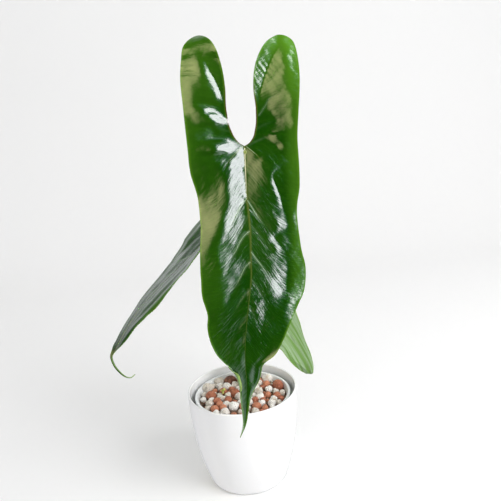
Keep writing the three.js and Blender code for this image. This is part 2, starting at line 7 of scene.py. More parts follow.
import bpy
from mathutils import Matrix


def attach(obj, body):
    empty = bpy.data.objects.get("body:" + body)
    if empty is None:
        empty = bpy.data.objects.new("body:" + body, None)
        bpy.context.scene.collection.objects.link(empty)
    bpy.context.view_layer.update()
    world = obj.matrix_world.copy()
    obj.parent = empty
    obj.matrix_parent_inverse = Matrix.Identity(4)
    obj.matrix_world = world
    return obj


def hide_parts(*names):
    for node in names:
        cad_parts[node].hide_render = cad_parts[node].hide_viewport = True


bl_info = {
    "name": "Potted Anthurium",
    "version": (1, 0, 0),
    "blender": (4, 5, 0),
    "location": "3D View > Sidebar > Plant",
    "description": "Builds a potted anthurium with three long leaves round its frame",
    "category": "Add Mesh",
}

import bmesh
import bpy
import numpy as np
from bpy.props import FloatProperty, FloatVectorProperty, IntProperty, PointerProperty
from mathutils import Matrix

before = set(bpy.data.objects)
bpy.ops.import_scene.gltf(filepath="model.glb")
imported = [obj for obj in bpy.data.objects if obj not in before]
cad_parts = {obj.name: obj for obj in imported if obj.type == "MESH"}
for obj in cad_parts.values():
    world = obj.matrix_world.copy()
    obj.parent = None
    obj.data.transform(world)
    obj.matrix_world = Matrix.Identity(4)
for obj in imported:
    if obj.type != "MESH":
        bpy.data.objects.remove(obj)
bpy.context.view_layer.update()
MM = 0.001

# Leaf outline, the same for every leaf. Distance along the midrib runs from the tops of the back lobes
# through 0, where the stalk joins, to the drip tip. Each row is that distance and a distance from the
# midrib.
LOBE_TOP = -98.0
LOBE_CAP = -86.0
TIP = 288.0
OUTER_EDGE = {
    "left": [(-98, 37), (-96, 43.2), (-94, 46.2), (-89, 51), (-79, 53.7), (-63, 55.4), (-33, 54.1),
             (0, 52.2), (24, 50.6), (44, 45.6), (65, 45.5), (102, 47.3), (125, 47.1), (145, 44),
             (163, 37.2), (172, 36.9), (190, 31.2), (199, 26), (208, 17.6), (216, 10.8), (226, 8),
             (250, 5.6), (266, 3), (288, 0)],
    "right": [(-98, 35.6), (-96, 43), (-92, 47.4), (-84, 50.2), (-60, 52.4), (-28, 50.4), (-4, 49),
              (20, 49.8), (40, 49.6), (71, 45), (93, 47.4), (118, 52), (131, 51.6), (145, 47.2),
              (170, 39.7), (187, 34.3), (200, 27.4), (208, 18.8), (219, 15.4), (226, 13.4), (237, 7.5),
              (247, 4.2), (268, 1.9), (288, 0)],
}
SINUS_EDGE = {
    "left": [(-98, 37), (-96, 31.4), (-92, 26.4), (-84, 21.4), (-73, 17.8), (-53, 15.2), (-31, 14.8),
             (-15, 11.8), (-6, 7.2), (-2, 3.4), (0, 0)],
    "right": [(-98, 35.6), (-96, 29.6), (-92, 23.6), (-83, 17.2), (-72, 12.6), (-51, 10.3), (-31, 11.8),
              (-15, 10.4), (-6, 7.2), (-2, 3.6), (0, 0)],
}

# The main side vein: bare along the sinus, out into the lobe one way and round inside the margin the other
# way
MAIN_VEIN = [(-98, 34.2), (-92, 37.5), (-86, 36), (-75, 31.5), (-64, 26.5), (-53, 21.5), (-42, 17.7),
             (-31, 15.6), (-15, 11.4), (-6, 6.2), (0, 1.4), (3, 4.6), (9, 11), (15, 16), (28, 22),
             (50, 29), (75, 34), (105, 36), (135, 36), (155, 33), (175, 27), (195, 17), (208, 9.5),
             (220, 5), (250, 2.4), (288, 0)]

# Branch veins of each half: how deep each is sunk, how far its valley reaches, how pale it is, and its path
# as rows of (distance along the midrib, distance from the midrib). The paleness is partly the veins' own
# tone and partly painted highlight of light catching their raised lines. Only those of a paleness of 0.3
# or more get a raised line.
BRANCHES = {
    "left": [
        (0.3, 3, 0.2, [(20, 1), (26, 6), (33, 11), (42, 17), (52, 24)]),
        (0.7, 4, 1.0, [(48.5, 0.2), (53, 5.3), (58, 8.7), (63, 12.3), (74, 18), (88, 25), (102, 32)]),
        (0.3, 3, 0.2, [(64, 0.5), (72, 6), (84, 12), (98, 19), (110, 25)]),
        (0.6, 4, 0.9, [(78.5, 0.3), (82, 5.1), (89.5, 10.4), (97, 14), (105.5, 18.4), (118, 24),
                       (132, 31)]),
        (0.6, 4, 0.75, [(107.5, 0.3), (112, 5.3), (118.5, 8.8), (131.5, 13.8), (147, 20), (160, 26)]),
        (0.5, 4, 0.3, [(134, 0.3), (140, 5), (150, 10), (163, 15), (177, 20)]),
        (0.4, 4, 0.2, [(158, 0.3), (165, 4.5), (176, 8.5), (188, 12)]),
        (0.3, 3, 0.2, [(180, 0.3), (187, 3.5), (197, 6)]),
        (0.1, 4, 0.2, [(-3, 4), (-3.5, 13.3), (-3.5, 22.8), (-4, 31.4), (-6, 40.2), (-9, 48)]),
        (0.3, 4, 0.1, [(-12, 9), (-15, 17), (-18, 26), (-22, 35), (-27, 44)]),
        (0.03, 4, 0.2, [(-23, 15), (-28.5, 22.6), (-34.5, 30.7), (-39, 37), (-44.5, 42.5), (-50, 49)]),
        (0.3, 4, 0.1, [(-44, 18), (-52, 26), (-60, 34), (-68, 42), (-74, 49)]),
    ],
    "right": [
        (0.3, 3, 0.2, [(22, 1), (28, 6), (36, 12), (45, 20)]),
        (0.7, 4, 0.95, [(50, 0.2), (57.5, 4), (64.5, 7), (69.5, 10), (77, 15.2), (84, 21.6), (94, 30)]),
        (0.4, 4, 0.3, [(72, 0.3), (80, 6), (90, 13), (101, 21), (110, 29)]),
        (0.6, 4, 0.85, [(98, 0.3), (109.5, 8.3), (118.5, 15), (125, 21.5), (130.5, 27.9), (137, 34)]),
        (0.5, 4, 0.3, [(124, 0.3), (132, 7), (142, 14), (152, 22), (158, 30)]),
        (0.4, 4, 0.2, [(150, 0.3), (158, 6), (168, 12), (178, 19)]),
        (0.3, 4, 0.2, [(174, 0.3), (182, 5), (192, 9)]),
        (0.5, 4, 0.2, [(-0.5, 4.1), (-4.5, 12.8), (-7, 21.5), (-6, 29.4), (-4.5, 41.7)]),
        (0.1, 4, 0.1, [(-13, 9), (-18, 18), (-21, 27), (-25, 36), (-31, 45)]),
        (0.4, 4, 0.35, [(-27, 14.5), (-35, 20.5), (-42, 25), (-45, 32.9), (-54, 39.2), (-61, 42.4)]),
        (0.3, 4, 0.1, [(-48, 18), (-58, 27), (-68, 35), (-76, 41)]),
    ],
}

# The pale start of the main side vein
JOINT_VEIN = [(0.6, 1.6), (3, 4.6), (9, 11), (15, 16), (21, 19.4)]

# Relief of the front leaf. Each row is a station along the midrib and then pairs of numbers: a distance
# from the midrib and the slope there, in percent, which is positive where the blade rises outwards
FRONT_RELIEF = {
    "left": [
        (-98, 0, -24, 22, -24, 29, -24, 34, -24, 38, -24, 44, -24, 50, -10, 55, -5),
        (-90, 0, -24, 22, -25, 29, -30, 34, -32, 38, -34, 44, -30, 50, -20, 55, -5),
        (-84, 0, -22, 20, -24, 27, -30, 30, -31, 34, -32, 39, -32, 48, -26, 54, -5),
        (-79, 0, -20, 19, -21, 22, -14, 29, -6, 33, -2, 36.5, -10, 41, -23, 53, -20),
        (-75, 0, -14, 17.5, -15, 21, -7, 30, -3, 32, 30, 35.5, 10, 40, -20, 53, -24),
        (-70, 0, -5, 17, -4, 28, -3, 29.5, 35, 32, 32, 36, 8, 41, -20, 54, -25),
        (-62, 0, -4, 16, -4, 24.5, -3, 26, 36, 28.5, 34, 33, 10, 42, -18, 54, -25),
        (-55, 0, -3, 15, -3, 21.5, -3, 23, 38, 25.5, 35, 30, 8, 44, -8, 49, -22),
        (-45, 0, -2, 15, -2, 18.2, 0, 19.4, 36, 21.6, 30, 26, 4, 42, -2, 48, -22),
        (-38, 0, 0, 15, 0, 17, 2, 18, 8, 24, 2, 33, 0, 40, -2, 48, -22),
        (-33, 0, 0, 14, 0, 19, 5, 25, 12, 27, 32, 34, 30, 37, 0, 47, -20),
        (-28, 0, 0, 14, 2, 17.5, 10, 19.5, 33, 31, 33, 35, 8, 39, 1, 48, -8),
        (-23, 0, 0, 12, 10, 13.5, 32, 24, 32, 28, 18, 31, 10, 37, 5, 48, -3),
        (-18, 0, 5, 12, 12, 15, 14, 20, 14, 24, 10, 28, 6, 38, 2, 48, -3),
        (-8, 0, 8, 8, 11, 12, 11, 20, 11, 25, 10, 30, 8, 38, 4, 48, 0),
        (-2.5, 0, 12, 5, 18, 9, 24, 12, 30, 21, 30, 26, 15, 36, 13, 48, 8),
        (3, 0, 25, 6, 22, 10, 27, 13, 32, 24, 32, 27.5, 15, 33, 12, 48, 7),
        (8, 0, 30, 6, 28, 8.5, 14, 12, 15, 20, 15, 25, 10, 30, 3, 48, -2),
        (15, 0, 30, 2, 30, 12, 30, 15, 12, 20, 14, 26, 8, 30, 0, 48, -3),
        (28, 0, 30, 2, 30, 13, 28, 16, 10, 20, -2, 24, -10, 30, 0, 48, -3),
        (40, 0, 30, 2, 30, 15, 28, 17, 8, 20, -10, 23, -24, 27, -12, 45, -3),
        (48, 0, 30, 2, 28, 15, 28, 18, 5, 22, -15, 26, -25, 30, -22, 44, -22),
        (60, 0, 10, 3, 12, 8, 28, 19, 24, 23, 2, 27, -22, 32, -24, 45, -25),
        (72, 0, 8, 7, 12, 12, 27, 22, 24, 28, 2, 32, -20, 36, -25, 46, -25),
        (84, 0, 5, 12, 8, 17, 24, 23, 20, 28, 8, 31, 0, 37, -20, 46, -25),
        (94, 0, 5, 10, 6, 18, 10, 24, 14, 29, 10, 32, 2, 40, -14, 46, -22),
        (110, 0, 4, 8, 8, 12, 14, 18, 16, 28, 16, 31, 4, 38, -3, 47, -6),
        (125, 0, 3, 10, 3, 15, 10, 18, 18, 25, 14, 29, 6, 36, 0, 47, -4),
        (140, 0, 2, 13, 3, 18, 8, 21, 14, 25, 10, 28, 3, 34, 0, 44, -5),
        (156, 0, 2, 8, 3, 14, 5, 18, 7, 24, 5, 28, 2, 34, 0, 40, -5),
        (185, 0, 2, 6, 2, 10, 2, 14, 2, 18, 2, 22, 2, 26, 3, 32, 8),
        (196, 0, 10, 3, 8, 6, 2, 10, 2, 15, 2, 18, 4, 22, 10, 27, 16),
        (204, 0, 22, 3, 20, 5, 3, 7, 3, 9, 3, 12, 4, 15, 8, 20, 14),
        (212, 0, 10, 2, 10, 4, 8, 6, 6, 8, 6, 10, 6, 12, 6, 14, 6),
        (240, 0, 8, 2, 10, 4, 20, 6, 30, 8, 30, 10, 30, 12, 30, 14, 30),
        (288, 0, 20, 2, 20, 4, 20, 6, 20, 8, 20, 10, 20, 12, 20, 14, 20),
    ],
    "right": [
        (-98, 0, -7, 20, -8, 30, -7, 34, -5, 38, -3, 42, -5, 45, -5, 48, -5, 52, -5),
        (-88, 0, -10, 22, -11, 32, -12, 36, 6, 40, 0, 43, -5, 46, -6, 49, -5, 52, -5),
        (-78, 0, -13, 17, -13, 27, -14, 29.5, 22, 35, 22, 39, 4, 43, -18, 45.5, -18, 48, -5),
        (-70, 0, -14, 14, -14, 23, -17, 25.5, 25, 36, 24, 41, 3, 44, -5, 46, -11, 48.5, -5),
        (-60, 0, -15, 11, -14, 19.5, -17, 21.5, 26, 35, 25, 40, 14, 44, 2, 48, -5, 52, -6),
        (-50, 0, -12, 10, -12, 16, -12, 18.5, 26, 29, 27, 37, 22, 42, 10, 46, -3, 52, -5),
        (-42, 0, -10, 10, -10, 14, -8, 17, 12, 22, 10, 26, 24, 42, 25, 45, 8, 50, -3),
        (-36, 0, -5, 10, -5, 14, 0, 19, 6, 23, 12, 26, 27, 43, 27, 46, 10, 50, 0),
        (-28, 0, 0, 11, 0, 20, 3, 25, 8, 28, 26, 36, 27, 43, 26, 46, 12, 50, 3),
        (-21, 0, 0, 10, 0, 20, 0, 28, 4, 32, 18, 37, 25, 43, 25, 46, 8, 50, 3),
        (-14, 0, 0, 9, 0, 16, 0, 24, 0, 30, 0, 36, 2, 42, 6, 46, 4, 50, 0),
        (-8, 0, 2, 6, 2, 14, 3, 18, 5, 21, 24, 27, 24, 30, 2, 40, 0, 49, 0),
        (-3, 0, 5, 6, 5, 14, 3, 22, 4, 25, 26, 31, 26, 34, 2, 40, 0, 49, 0),
        (2, 0, 15, 5, 10, 12, 3, 24, 2, 28.5, 4, 31, 27, 36, 27, 39, 0, 49, 0),
        (7, 0, 22, 7, 22, 10, 3, 16, 0, 22, 0, 28, 0, 34, 0, 40, 0, 49, 0),
        (14, 0, 22, 3, 22, 10, 22, 14.5, 20, 17, 4, 25, 0, 35, 0, 42, 0, 49, 0),
        (28, 0, 20, 3, 20, 9, 20, 14, 18, 18, 10, 22.5, 0, 24.5, -28, 26, 3, 40, 2),
        (40, 0, 18, 3, 18, 9, 15, 14, 2, 22, 0, 25, -16, 27.5, -34, 29, 4, 40, 2),
        (52, 0, 12, 4, 10, 10, 2, 18, 0, 26, 0, 28, -14, 30.5, -30, 32, 2, 42, 0),
        (64, 0, 3, 6, 2, 14, 0, 21, 0, 24, -20, 26, -8, 32, -18, 34.5, 0, 42, -6),
        (76, 0, 2, 8, 2, 17, 0, 25, -2, 28, -22, 34, -24, 36.5, -2, 41, -3, 43, -16),
        (86, 0, 0, 10, 0, 16, 0, 19.5, -20, 22, -20, 24, -2, 35, -10, 40, -3, 47, -5),
        (95, 0, 0, 12, 0, 23, 0, 25.5, -22, 27.5, -22, 29, -2, 36, -2, 43, -3, 48, -5),
        (104, 0, 0, 8, 0, 16, 0, 19, -10, 24, -14, 30, -8, 35, 0, 41, -5, 50, -8),
        (114, 0, 0, 8, 0, 12, -8, 16, -2, 23, -16, 33, -20, 36, 0, 41, -6, 50, -10),
        (126, 0, 0, 10, 0, 17, -4, 20, -20, 27, -26, 33, -20, 35.5, 0, 39.5, -3, 42, -13),
        (137, 0, 0, 8, 0, 19, 0, 23, -14, 28, -16, 33, -8, 36, 0, 40, -8, 46, -12),
        (148, 0, 0, 8, 0, 10, -14, 13, -10, 17, 0, 25, 0, 34, 0, 38.5, -8, 44, -12),
        (157, 0, 0, 9.5, -2, 12, -22, 15, -22, 17, 0, 24, 0, 32, 0, 36, -12, 41, -15),
        (166, 0, 0, 3, -3, 8, 0, 13, -6, 17, 0, 24, 0, 30, 0, 35, -2, 40, -4),
        (185, 0, 2, 4, 2, 8, 2, 12, 2, 16, 2, 20, 2, 25, 3, 30, 5, 34, 8),
        (195, 0, 2, 4, 2, 8, 2, 11, 2, 15, 3, 19, 5, 23, 10, 26, 24, 30, 26),
        (203, 0, 3, 2, 3, 4, 3, 7, 3, 10, 3, 13, 8, 17, 30, 20, 50, 24, 50),
        (213, 0, 3, 2, 2, 4, 0, 6, -6, 8, -14, 10, -16, 12, -16, 14, -10, 17, 0),
        (222, 0, 0, 2, -5, 4, -15, 6, -22, 8, -24, 10, -24, 12, -24, 14, -20, 16, -10),
        (240, 0, 10, 2, 5, 4, 0, 6, -10, 8, -15, 10, -15, 12, -15, 14, -15, 16, -15),
        (288, 0, 0, 2, 0, 4, 0, 6, 0, 8, 0, 10, 0, 12, 0, 14, 0, 16, 0),
    ],
}

# How deep the main side vein's valley is on the two side leaves
VALLEY = [(-98, 2.5), (-60, 3), (-30, 1.5), (-10, 0.6), (2, 0.8), (20, 2.4), (150, 2.4), (195, 1.6),
          (215, 0.4), (230, 0), (288, 0)]

# The margin's roll: how many radians it turns by, and how broad the rolled band is
PLAIN_TURN = {"left": [(-98, -0.2), (288, -0.2)], "right": [(-98, -0.25), (288, -0.2)]}
PLAIN_BAND = {"left": [(-98, 1.5), (288, 1)], "right": [(-98, 1.5), (288, 1)]}

# Each leaf: where its midrib runs, which way its upper face looks, how broad it is, its relief or else how
# its halves rise, droop and wave, and its margin's roll. Rows start with the distance along the midrib.
# Lift raises the lobes' tops and lean bends them back. The counts are of rows, and of columns up to the
# main vein and past it.
LEAVES = {
    "front": {
        "spine": [(-98, 26.3, -61, 489.3), (-76, 25.3, -64.5, 466.4), (-50, 24.2, -66, 440.9),
                  (0, 22.2, -70, 391), (47.8, 20.3, -78, 343.9), (77.7, 20.7, -84, 314.6),
                  (103.8, 19, -89, 289), (122.3, 17.8, -92, 270.8), (140.8, 14.5, -95, 252.9),
                  (160.2, 10.9, -97, 233.9), (183.2, 7.2, -98, 211.2), (210.1, 4.9, -98, 184.4),
                  (230.9, 4.9, -97, 163.7), (247.6, 3.1, -96, 147.1), (260.7, 1.6, -96, 134.1),
                  (275.6, -1.1, -97, 119.4), (288, -6.2, -100, 108.4)],
        "facing": [(-98, 0, -1, 0), (288, 0, -1, 0)],
        "breadth": {"left": [(-98, 1), (288, 1)], "right": [(-98, 1), (288, 1)]},
        "relief": FRONT_RELIEF,
        "turn": {
            "left": [(-98, 0.05), (207, 0.05), (211, 0.6), (214, 2.6), (218, 3.1), (228, 3.1),
                     (234, 2.4), (240, 0.6), (250, 0.1), (288, 0.1)],
            "right": [(-98, 0.05), (205, 0.05), (211, -0.2), (216, -0.7), (226, -0.7), (236, -0.1),
                      (288, -0.1)],
        },
        "band": {
            "left": [(-98, 1.5), (200, 1.5), (207, 0.8), (211, 1.5), (215, 4.5), (219, 8), (228, 7),
                     (238, 3), (250, 1.5), (288, 1)],
            "right": [(-98, 1.5), (205, 2), (214, 4), (226, 4), (236, 2), (288, 1)],
        },
        "lift": {"left": 1.6, "right": -1.0}, "lean": {"left": 0.024, "right": 0.01},
        "size": 1.0, "rows": 300, "columns": (34, 24), "seed": 3,
    },
    "left": {
        "spine": [(-98, 26, 46, 352), (-50, 8, 38, 324), (0, -14, 26, 294.5), (30, -32, 20, 278),
                  (68, -55.6, 11, 259.6), (114, -84, -1, 237.6), (148, -103.6, -8, 220.2),
                  (184, -122, -15, 197.6), (212, -134, -20, 179.6), (224, -137.4, -21, 173.5),
                  (236, -136, -21, 164.3), (249, -132, -20, 155.2), (262, -126.8, -18, 147.4),
                  (275, -121.2, -16, 144.4), (288, -116.4, -14, 146.7)],
        "facing": [(-98, -0.66, -0.25, 0.67), (0, -0.66, -0.24, 0.67), (45, -0.66, -0.14, 0.67),
                   (120, -0.66, -0.11, 0.67), (200, -0.6, -0.2, 0.6), (225, -0.8, -0.5, 0.3),
                   (250, -0.7, -0.6, -0.2), (288, 0.3, -0.7, -0.6)],
        "breadth": {
            "left": [(-98, 1), (42, 1), (62, 1.05), (85, 1.02), (110, 1), (150, 0.84), (185, 0.58),
                     (205, 0.44), (225, 0.34), (288, 0.3)],
            "right": [(-98, 1), (45, 1), (70, 1.08), (92, 1.02), (110, 0.96), (150, 0.9), (185, 0.74),
                      (205, 0.54), (225, 0.36), (288, 0.3)],
        },
        "rise": [(-98, 0.2), (-20, 0.25), (10, 0.36), (35, 0.43), (50, 0.36), (70, 0.27), (100, 0.2),
                 (150, 0.17), (200, 0.3), (215, 0.5), (240, 0.9), (270, 0.8), (288, 0.5)],
        "droop": [(-98, 0.22), (0, 0.2), (150, 0.2), (200, 0.2), (215, 0), (288, 0)],
        "wave": {"height": 0.5, "left": 2, "right": 0.4}, "pleats": 0.34,
        "turn": {"left": PLAIN_TURN["left"],
                 "right": [(-98, -0.25), (60, -0.25), (110, -0.3), (150, -0.6), (190, -0.6),
                           (215, -0.2), (288, -0.2)]},
        "band": {"left": PLAIN_BAND["left"],
                 "right": [(-98, 1.5), (60, 1.5), (150, 8), (190, 8), (215, 2), (288, 1)]},
        "size": 0.8, "rows": 230, "columns": (28, 20), "seed": 5,
    },
    "right": {
        "spine": [(-98, 8, 92, 310), (-50, 12, 78, 279), (0, 23, 64, 240), (60, 43, 68, 197),
                  (128, 64.5, 72, 144), (168, 80.5, 74, 113.5), (195, 88.6, 77, 93.8),
                  (212, 91.6, 81, 80.4), (232, 93.6, 92.5, 74.6), (252, 91, 104, 80.5),
                  (270, 86, 110, 93), (288, 82, 111, 106)],
        "facing": [(-98, -0.2, 0.9, 0.25), (0, -0.4, 0.88, 0.2), (200, -0.45, 0.85, 0.15),
                   (220, -0.3, 0.8, 0.5), (245, -0.3, 0.2, 0.9), (262, -0.4, -0.4, 0.8),
                   (288, -0.6, -0.8, 0.1)],
        "breadth": {
            "left": [(-98, 0.95), (100, 0.95), (140, 0.82), (170, 0.5), (195, 0.34), (215, 0.36),
                     (288, 0.4)],
            "right": [(-98, 0.95), (60, 0.88), (110, 0.68), (135, 0.53), (145, 0.51), (157, 0.55),
                      (170, 0.57), (204, 0.57), (216, 0.52), (230, 0.36), (288, 0.4)],
        },
        "rise": [(-98, 0.25), (0, 0.35), (60, 0.5), (150, 0.55), (200, 0.5), (215, 0.6), (240, 0.8),
                 (270, 0.8), (288, 0.5)],
        "droop": [(-98, 0.22), (0, 0.2), (60, 0.12), (150, 0.1), (200, 0.1), (215, 0), (288, 0)],
        "wave": {"height": 2.5, "left": 2, "right": 0.4},
        "turn": PLAIN_TURN, "band": PLAIN_BAND,
        "size": 0.8, "rows": 230, "columns": (28, 20), "seed": 8,
    },
}

# Leaf stalks from the stem to the blade: a direction that the path never takes, and the path. Their radii go
# by the share of the length.
STALKS = {
    "front": ((1, 0, 0), [(7, 17, 113), (8, 11, 128), (10.5, 5, 170), (14, -9, 240), (18, -31, 315),
                          (21, -53, 366), (22, -61.5, 381), (22.2, -66.4, 384.6), (22.2, -70.6, 385.2)]),
    "left": ((0, 1, 0), [(3, 23, 117), (-2.5, 25, 130), (-6, 28.5, 175), (-6.5, 30.5, 235),
                         (-4.5, 29.5, 268), (-6, 28.5, 281), (-10.4, 27.3, 287.6), (-15, 26, 292.3)]),
    "right": ((1, 0, 0), [(10, 24, 115), (14, 28, 128), (19.5, 35, 165), (26, 45, 205), (30, 50.5, 224),
                          (30, 54.5, 231.5), (27.6, 59.5, 234.6), (25.6, 63.9, 235.9)]),
}
STALK_RADIUS = [(0, 4.2), (0.05, 3.7), (0.14, 2.8), (0.86, 2.55), (0.91, 2.7), (0.94, 3.6),
                (0.975, 3.7), (1, 3.3)]

# The stem and its roots, and the papery strips round it as (turn in degrees, foot, tip, flare)
STEM_PATH = [(7, 22, 56), (7, 22, 84), (7, 21.5, 110), (7, 21, 131)]
STEM_RADIUS = [(0, 4.5), (0.12, 6.8), (0.5, 7.4), (0.72, 7), (0.78, 7.6), (0.86, 6.6), (0.95, 5),
               (1, 2.6)]
ROOT_PATHS = [
    [(7, 24, 109), (8, 33, 108.5), (8.5, 39, 103), (8.5, 42, 92)],
    [(9, 23, 112), (14.5, 29.5, 111), (17, 33.5, 104), (18, 35, 92)],
    [(5, 23, 107), (1.5, 31, 107.5), (-0.5, 35, 101), (-1, 36.5, 90)],
]
ROOT_RADIUS = [(0, 2.3), (0.8, 2.1), (1, 1.2)]
STEM_AXIS = (7, 21.4)
STEM_GIRTH = 7.6
SHEATHS = [(-25, 110, 147, 5), (215, 111, 141, 4), (95, 112, 156, 6)]

# The cover pot: its radius is base + (rim - base) (1 - (1 - z / height)^bulge) at the height z
POT_HEIGHT = 112.0
POT_RIM = 62.5
POT_BASE = 45.0
POT_BULGE = 2.25
POT_WALL = 2.2
POT_FLOOR = 3.0
FOOT_ROUND = 3.0
LIP_ROUND = 1.1

# The nursery pot: its inner radius is the foot's plus the flare times the height over the floor. The heel
# and the lip are rows of (radius, height).
NURSERY_FLOOR = 4.8
NURSERY_FOOT = 36.8
NURSERY_FLARE = 13.6 / 96.4
NURSERY_WALL = 1.2
NURSERY_HEEL = [(36.4, 3.3), (37.6, 3.8), (38, 4.8)]
NURSERY_LIP = [(51.8, 101.2), (54.2, 101.5), (54.9, 102.2), (55, 103), (55, 104.2), (54.7, 104.8),
               (54.1, 105), (52.8, 105), (52.2, 104.7), (52, 104)]

# The bed, and the stones that stand out at the front as (x, y, radius, kind). One of them is painted
# darkest, as shade falling on it.
BED_TOP = 99.5
STONE_TRIES = 6000
CHIPS = 260
SHADED_STONE = (-13.8, 36.5)
LANDMARK_STONES = [
    (-36.8, 4.4, 6.1, "clay"), (-17.2, -9.0, 4.7, "clay"), (-27.0, -16.2, 4.3, "clay"),
    (-8.8, 5.9, 5.6, "clay"), (-13.8, 36.5, 7.2, "clay"), (-22.5, 12.1, 5.0, "clay"),
    (42.4, 14.2, 7.1, "clay"), (28.5, -4.1, 4.1, "clay"), (38.8, -7.6, 4.3, "clay"),
    (29.3, 20.5, 4.6, "clay"), (22.1, -15.9, 3.7, "clay"), (22.8, -35.0, 4.0, "clay"),
    (-32.5, -26.3, 5.0, "clay"), (13.5, -14.2, 4.1, "clay"), (-40.0, 23.0, 6.8, "pumice"),
    (-27.0, 38.0, 6.0, "pumice"), (-11.4, -24.9, 5.9, "pumice"), (-20.5, -36.0, 5.0, "pumice"),
    (31.5, 34.0, 6.1, "pumice"), (30.8, 8.8, 4.8, "pumice"), (45.4, -2.6, 4.0, "pumice"),
    (19.4, 4.0, 5.2, "pumice"), (31.3, -23.4, 4.7, "pumice"), (-38.6, -12.3, 5.1, "pumice"),
    (13.0, -40.5, 4.9, "pumice"), (3.5, -31.1, 4.4, "pumice"),
]

# The camera: place in mm, turns in degrees, and focal length for a sensor as wide as SENSOR in mm
CAMERA = {"place": (0, -629, 439), "yaw": 2.04, "down": 14.8, "roll": -4.65, "lens": 43.11}
SENSOR = 36

# The floor and backdrop: where the level part starts and ends, the radius of the bend, the height of the top
# and half the width
BACKDROP = {"front": -1500, "back": 800, "radius": 500, "top": 2200, "half": 2400}

# The window light, in metres: where it hangs, what it faces, and its width and height
WINDOW_PLACE = (0.95, -0.75, 0.95)
WINDOW_AIM = (0.0, 0.0, 0.2)
WINDOW_SIZE = (0.9, 1.1)

# The rolled margin is worked out in this many even steps, and the mesh uses the listed ones
ROLL_COUNT = 32
ROLL_STEPS = [4, 8, 12, 16, 20, 25, 32]

# Height of the short pleats of the back lobes
LOBE_PLEATS = {"left": 0.04, "right": 0.07}


# Curves and surfaces


def smooth(rows, x):
    """Cubic curve through rows of (place, values...). The slope at each row is the mean of its two
    neighbours' slopes, each weighed by the opposite span."""
    rows = np.asarray(rows, float)
    x = np.asarray(x, float)
    knots, values = rows[:, 0], rows[:, 1:]
    span = np.diff(knots)
    chord = np.diff(values, axis=0) / span[:, None]
    inner = (chord[1:] * span[:-1, None] + chord[:-1] * span[1:, None]) / (span[:-1] + span[1:])[:, None]
    slope = np.concatenate([chord[:1], inner, chord[-1:]])
    i = np.clip(np.searchsorted(knots, x, side="right") - 1, 0, len(span) - 1)
    h = span[i][..., None]
    w = ((x - knots[i]) / span[i])[..., None]
    return (
        (2 * w**3 - 3 * w**2 + 1) * values[i]
        + (w**3 - 2 * w**2 + w) * h * slope[i]
        + (3 * w**2 - 2 * w**3) * values[i + 1]
        + (w**3 - w**2) * h * slope[i + 1]
    )


def between(rows, x):
    """Straight pieces between rows of (place, value)."""
    rows = np.asarray(rows, float)
    return np.interp(x, rows[:, 0], rows[:, 1])


def outline(rows, s):
    """Distance from the midrib, smooth in the square root of s - LOBE_TOP, for round lobe tops."""
    rows = np.asarray(rows, float)
    root = lambda v: np.sqrt(np.maximum(v - LOBE_TOP, 0))
    return smooth(np.column_stack([root(rows[:, 0]), rows[:, 1]]), root(np.asarray(s, float)))[..., 0]


def unit(v):
    """Each vector divided by its length."""
    return v / np.maximum(np.linalg.norm(v, axis=-1, keepdims=True), 1e-12)


def column(v):
    """The values of the rows, set up to go with arrays of rows by columns."""
    return v[:, None]


def path_length(points, power=1):
    """How far along a path each point lies: the sum of the steps' lengths, each raised to a power."""
    steps = np.linalg.norm(np.diff(points, axis=0), axis=1) ** power
    return np.concatenate([[0], np.cumsum(steps)])


def ripples(points, seed, waves, low, high, along=None, spread=1.0):
    """Smooth random field: the sum of plane cosine waves with random phases, over the square root of their
    count, which stays mostly from -1 to 1. Wavelengths lie from low to high, and directions lie round
    `along`, or anywhere where it is None."""
    draw = np.random.default_rng(seed)
    dims = points.shape[-1]
    way = draw.normal(size=(waves, dims))
    if along is not None:
        way = unit(way) * spread + np.asarray(along, float)
    number = 2 * np.pi / draw.uniform(low, high, size=(waves, 1))
    phase = draw.uniform(0, 2 * np.pi, size=waves)
    return np.cos(points @ (unit(way) * number).T + phase).sum(-1) / np.sqrt(waves)


def path_distance(s, x, path):
    """Distance of every (s, x) from a smooth path of (s, x) rows, and how far along the path its nearest
    point lies, from 0 to 1."""
    path = np.asarray(path, float)
    steps = path_length(path)
    t = np.linspace(0, 1, 41)
    line = smooth(np.column_stack([steps, path]), t * steps[-1])
    place = np.stack([s, x], -1)[..., None, :]
    start, run = line[:-1], np.diff(line, axis=0)
    share = np.clip(((place - start) * run).sum(-1) / (run**2).sum(-1), 0, 1)
    away = np.linalg.norm(place - start - share[..., None] * run, axis=-1)
    nearest = away.argmin(-1)
    at = (nearest + np.take_along_axis(share, nearest[..., None], -1)[..., 0]) / len(run)
    return away.min(-1), at


def fade(x, full, none):
    """1 at `full`, 0 at `none`, and a smooth step between."""
    w = np.clip((np.asarray(x, float) - none) / (full - none), 0, 1)
    return w * w * (3 - 2 * w)


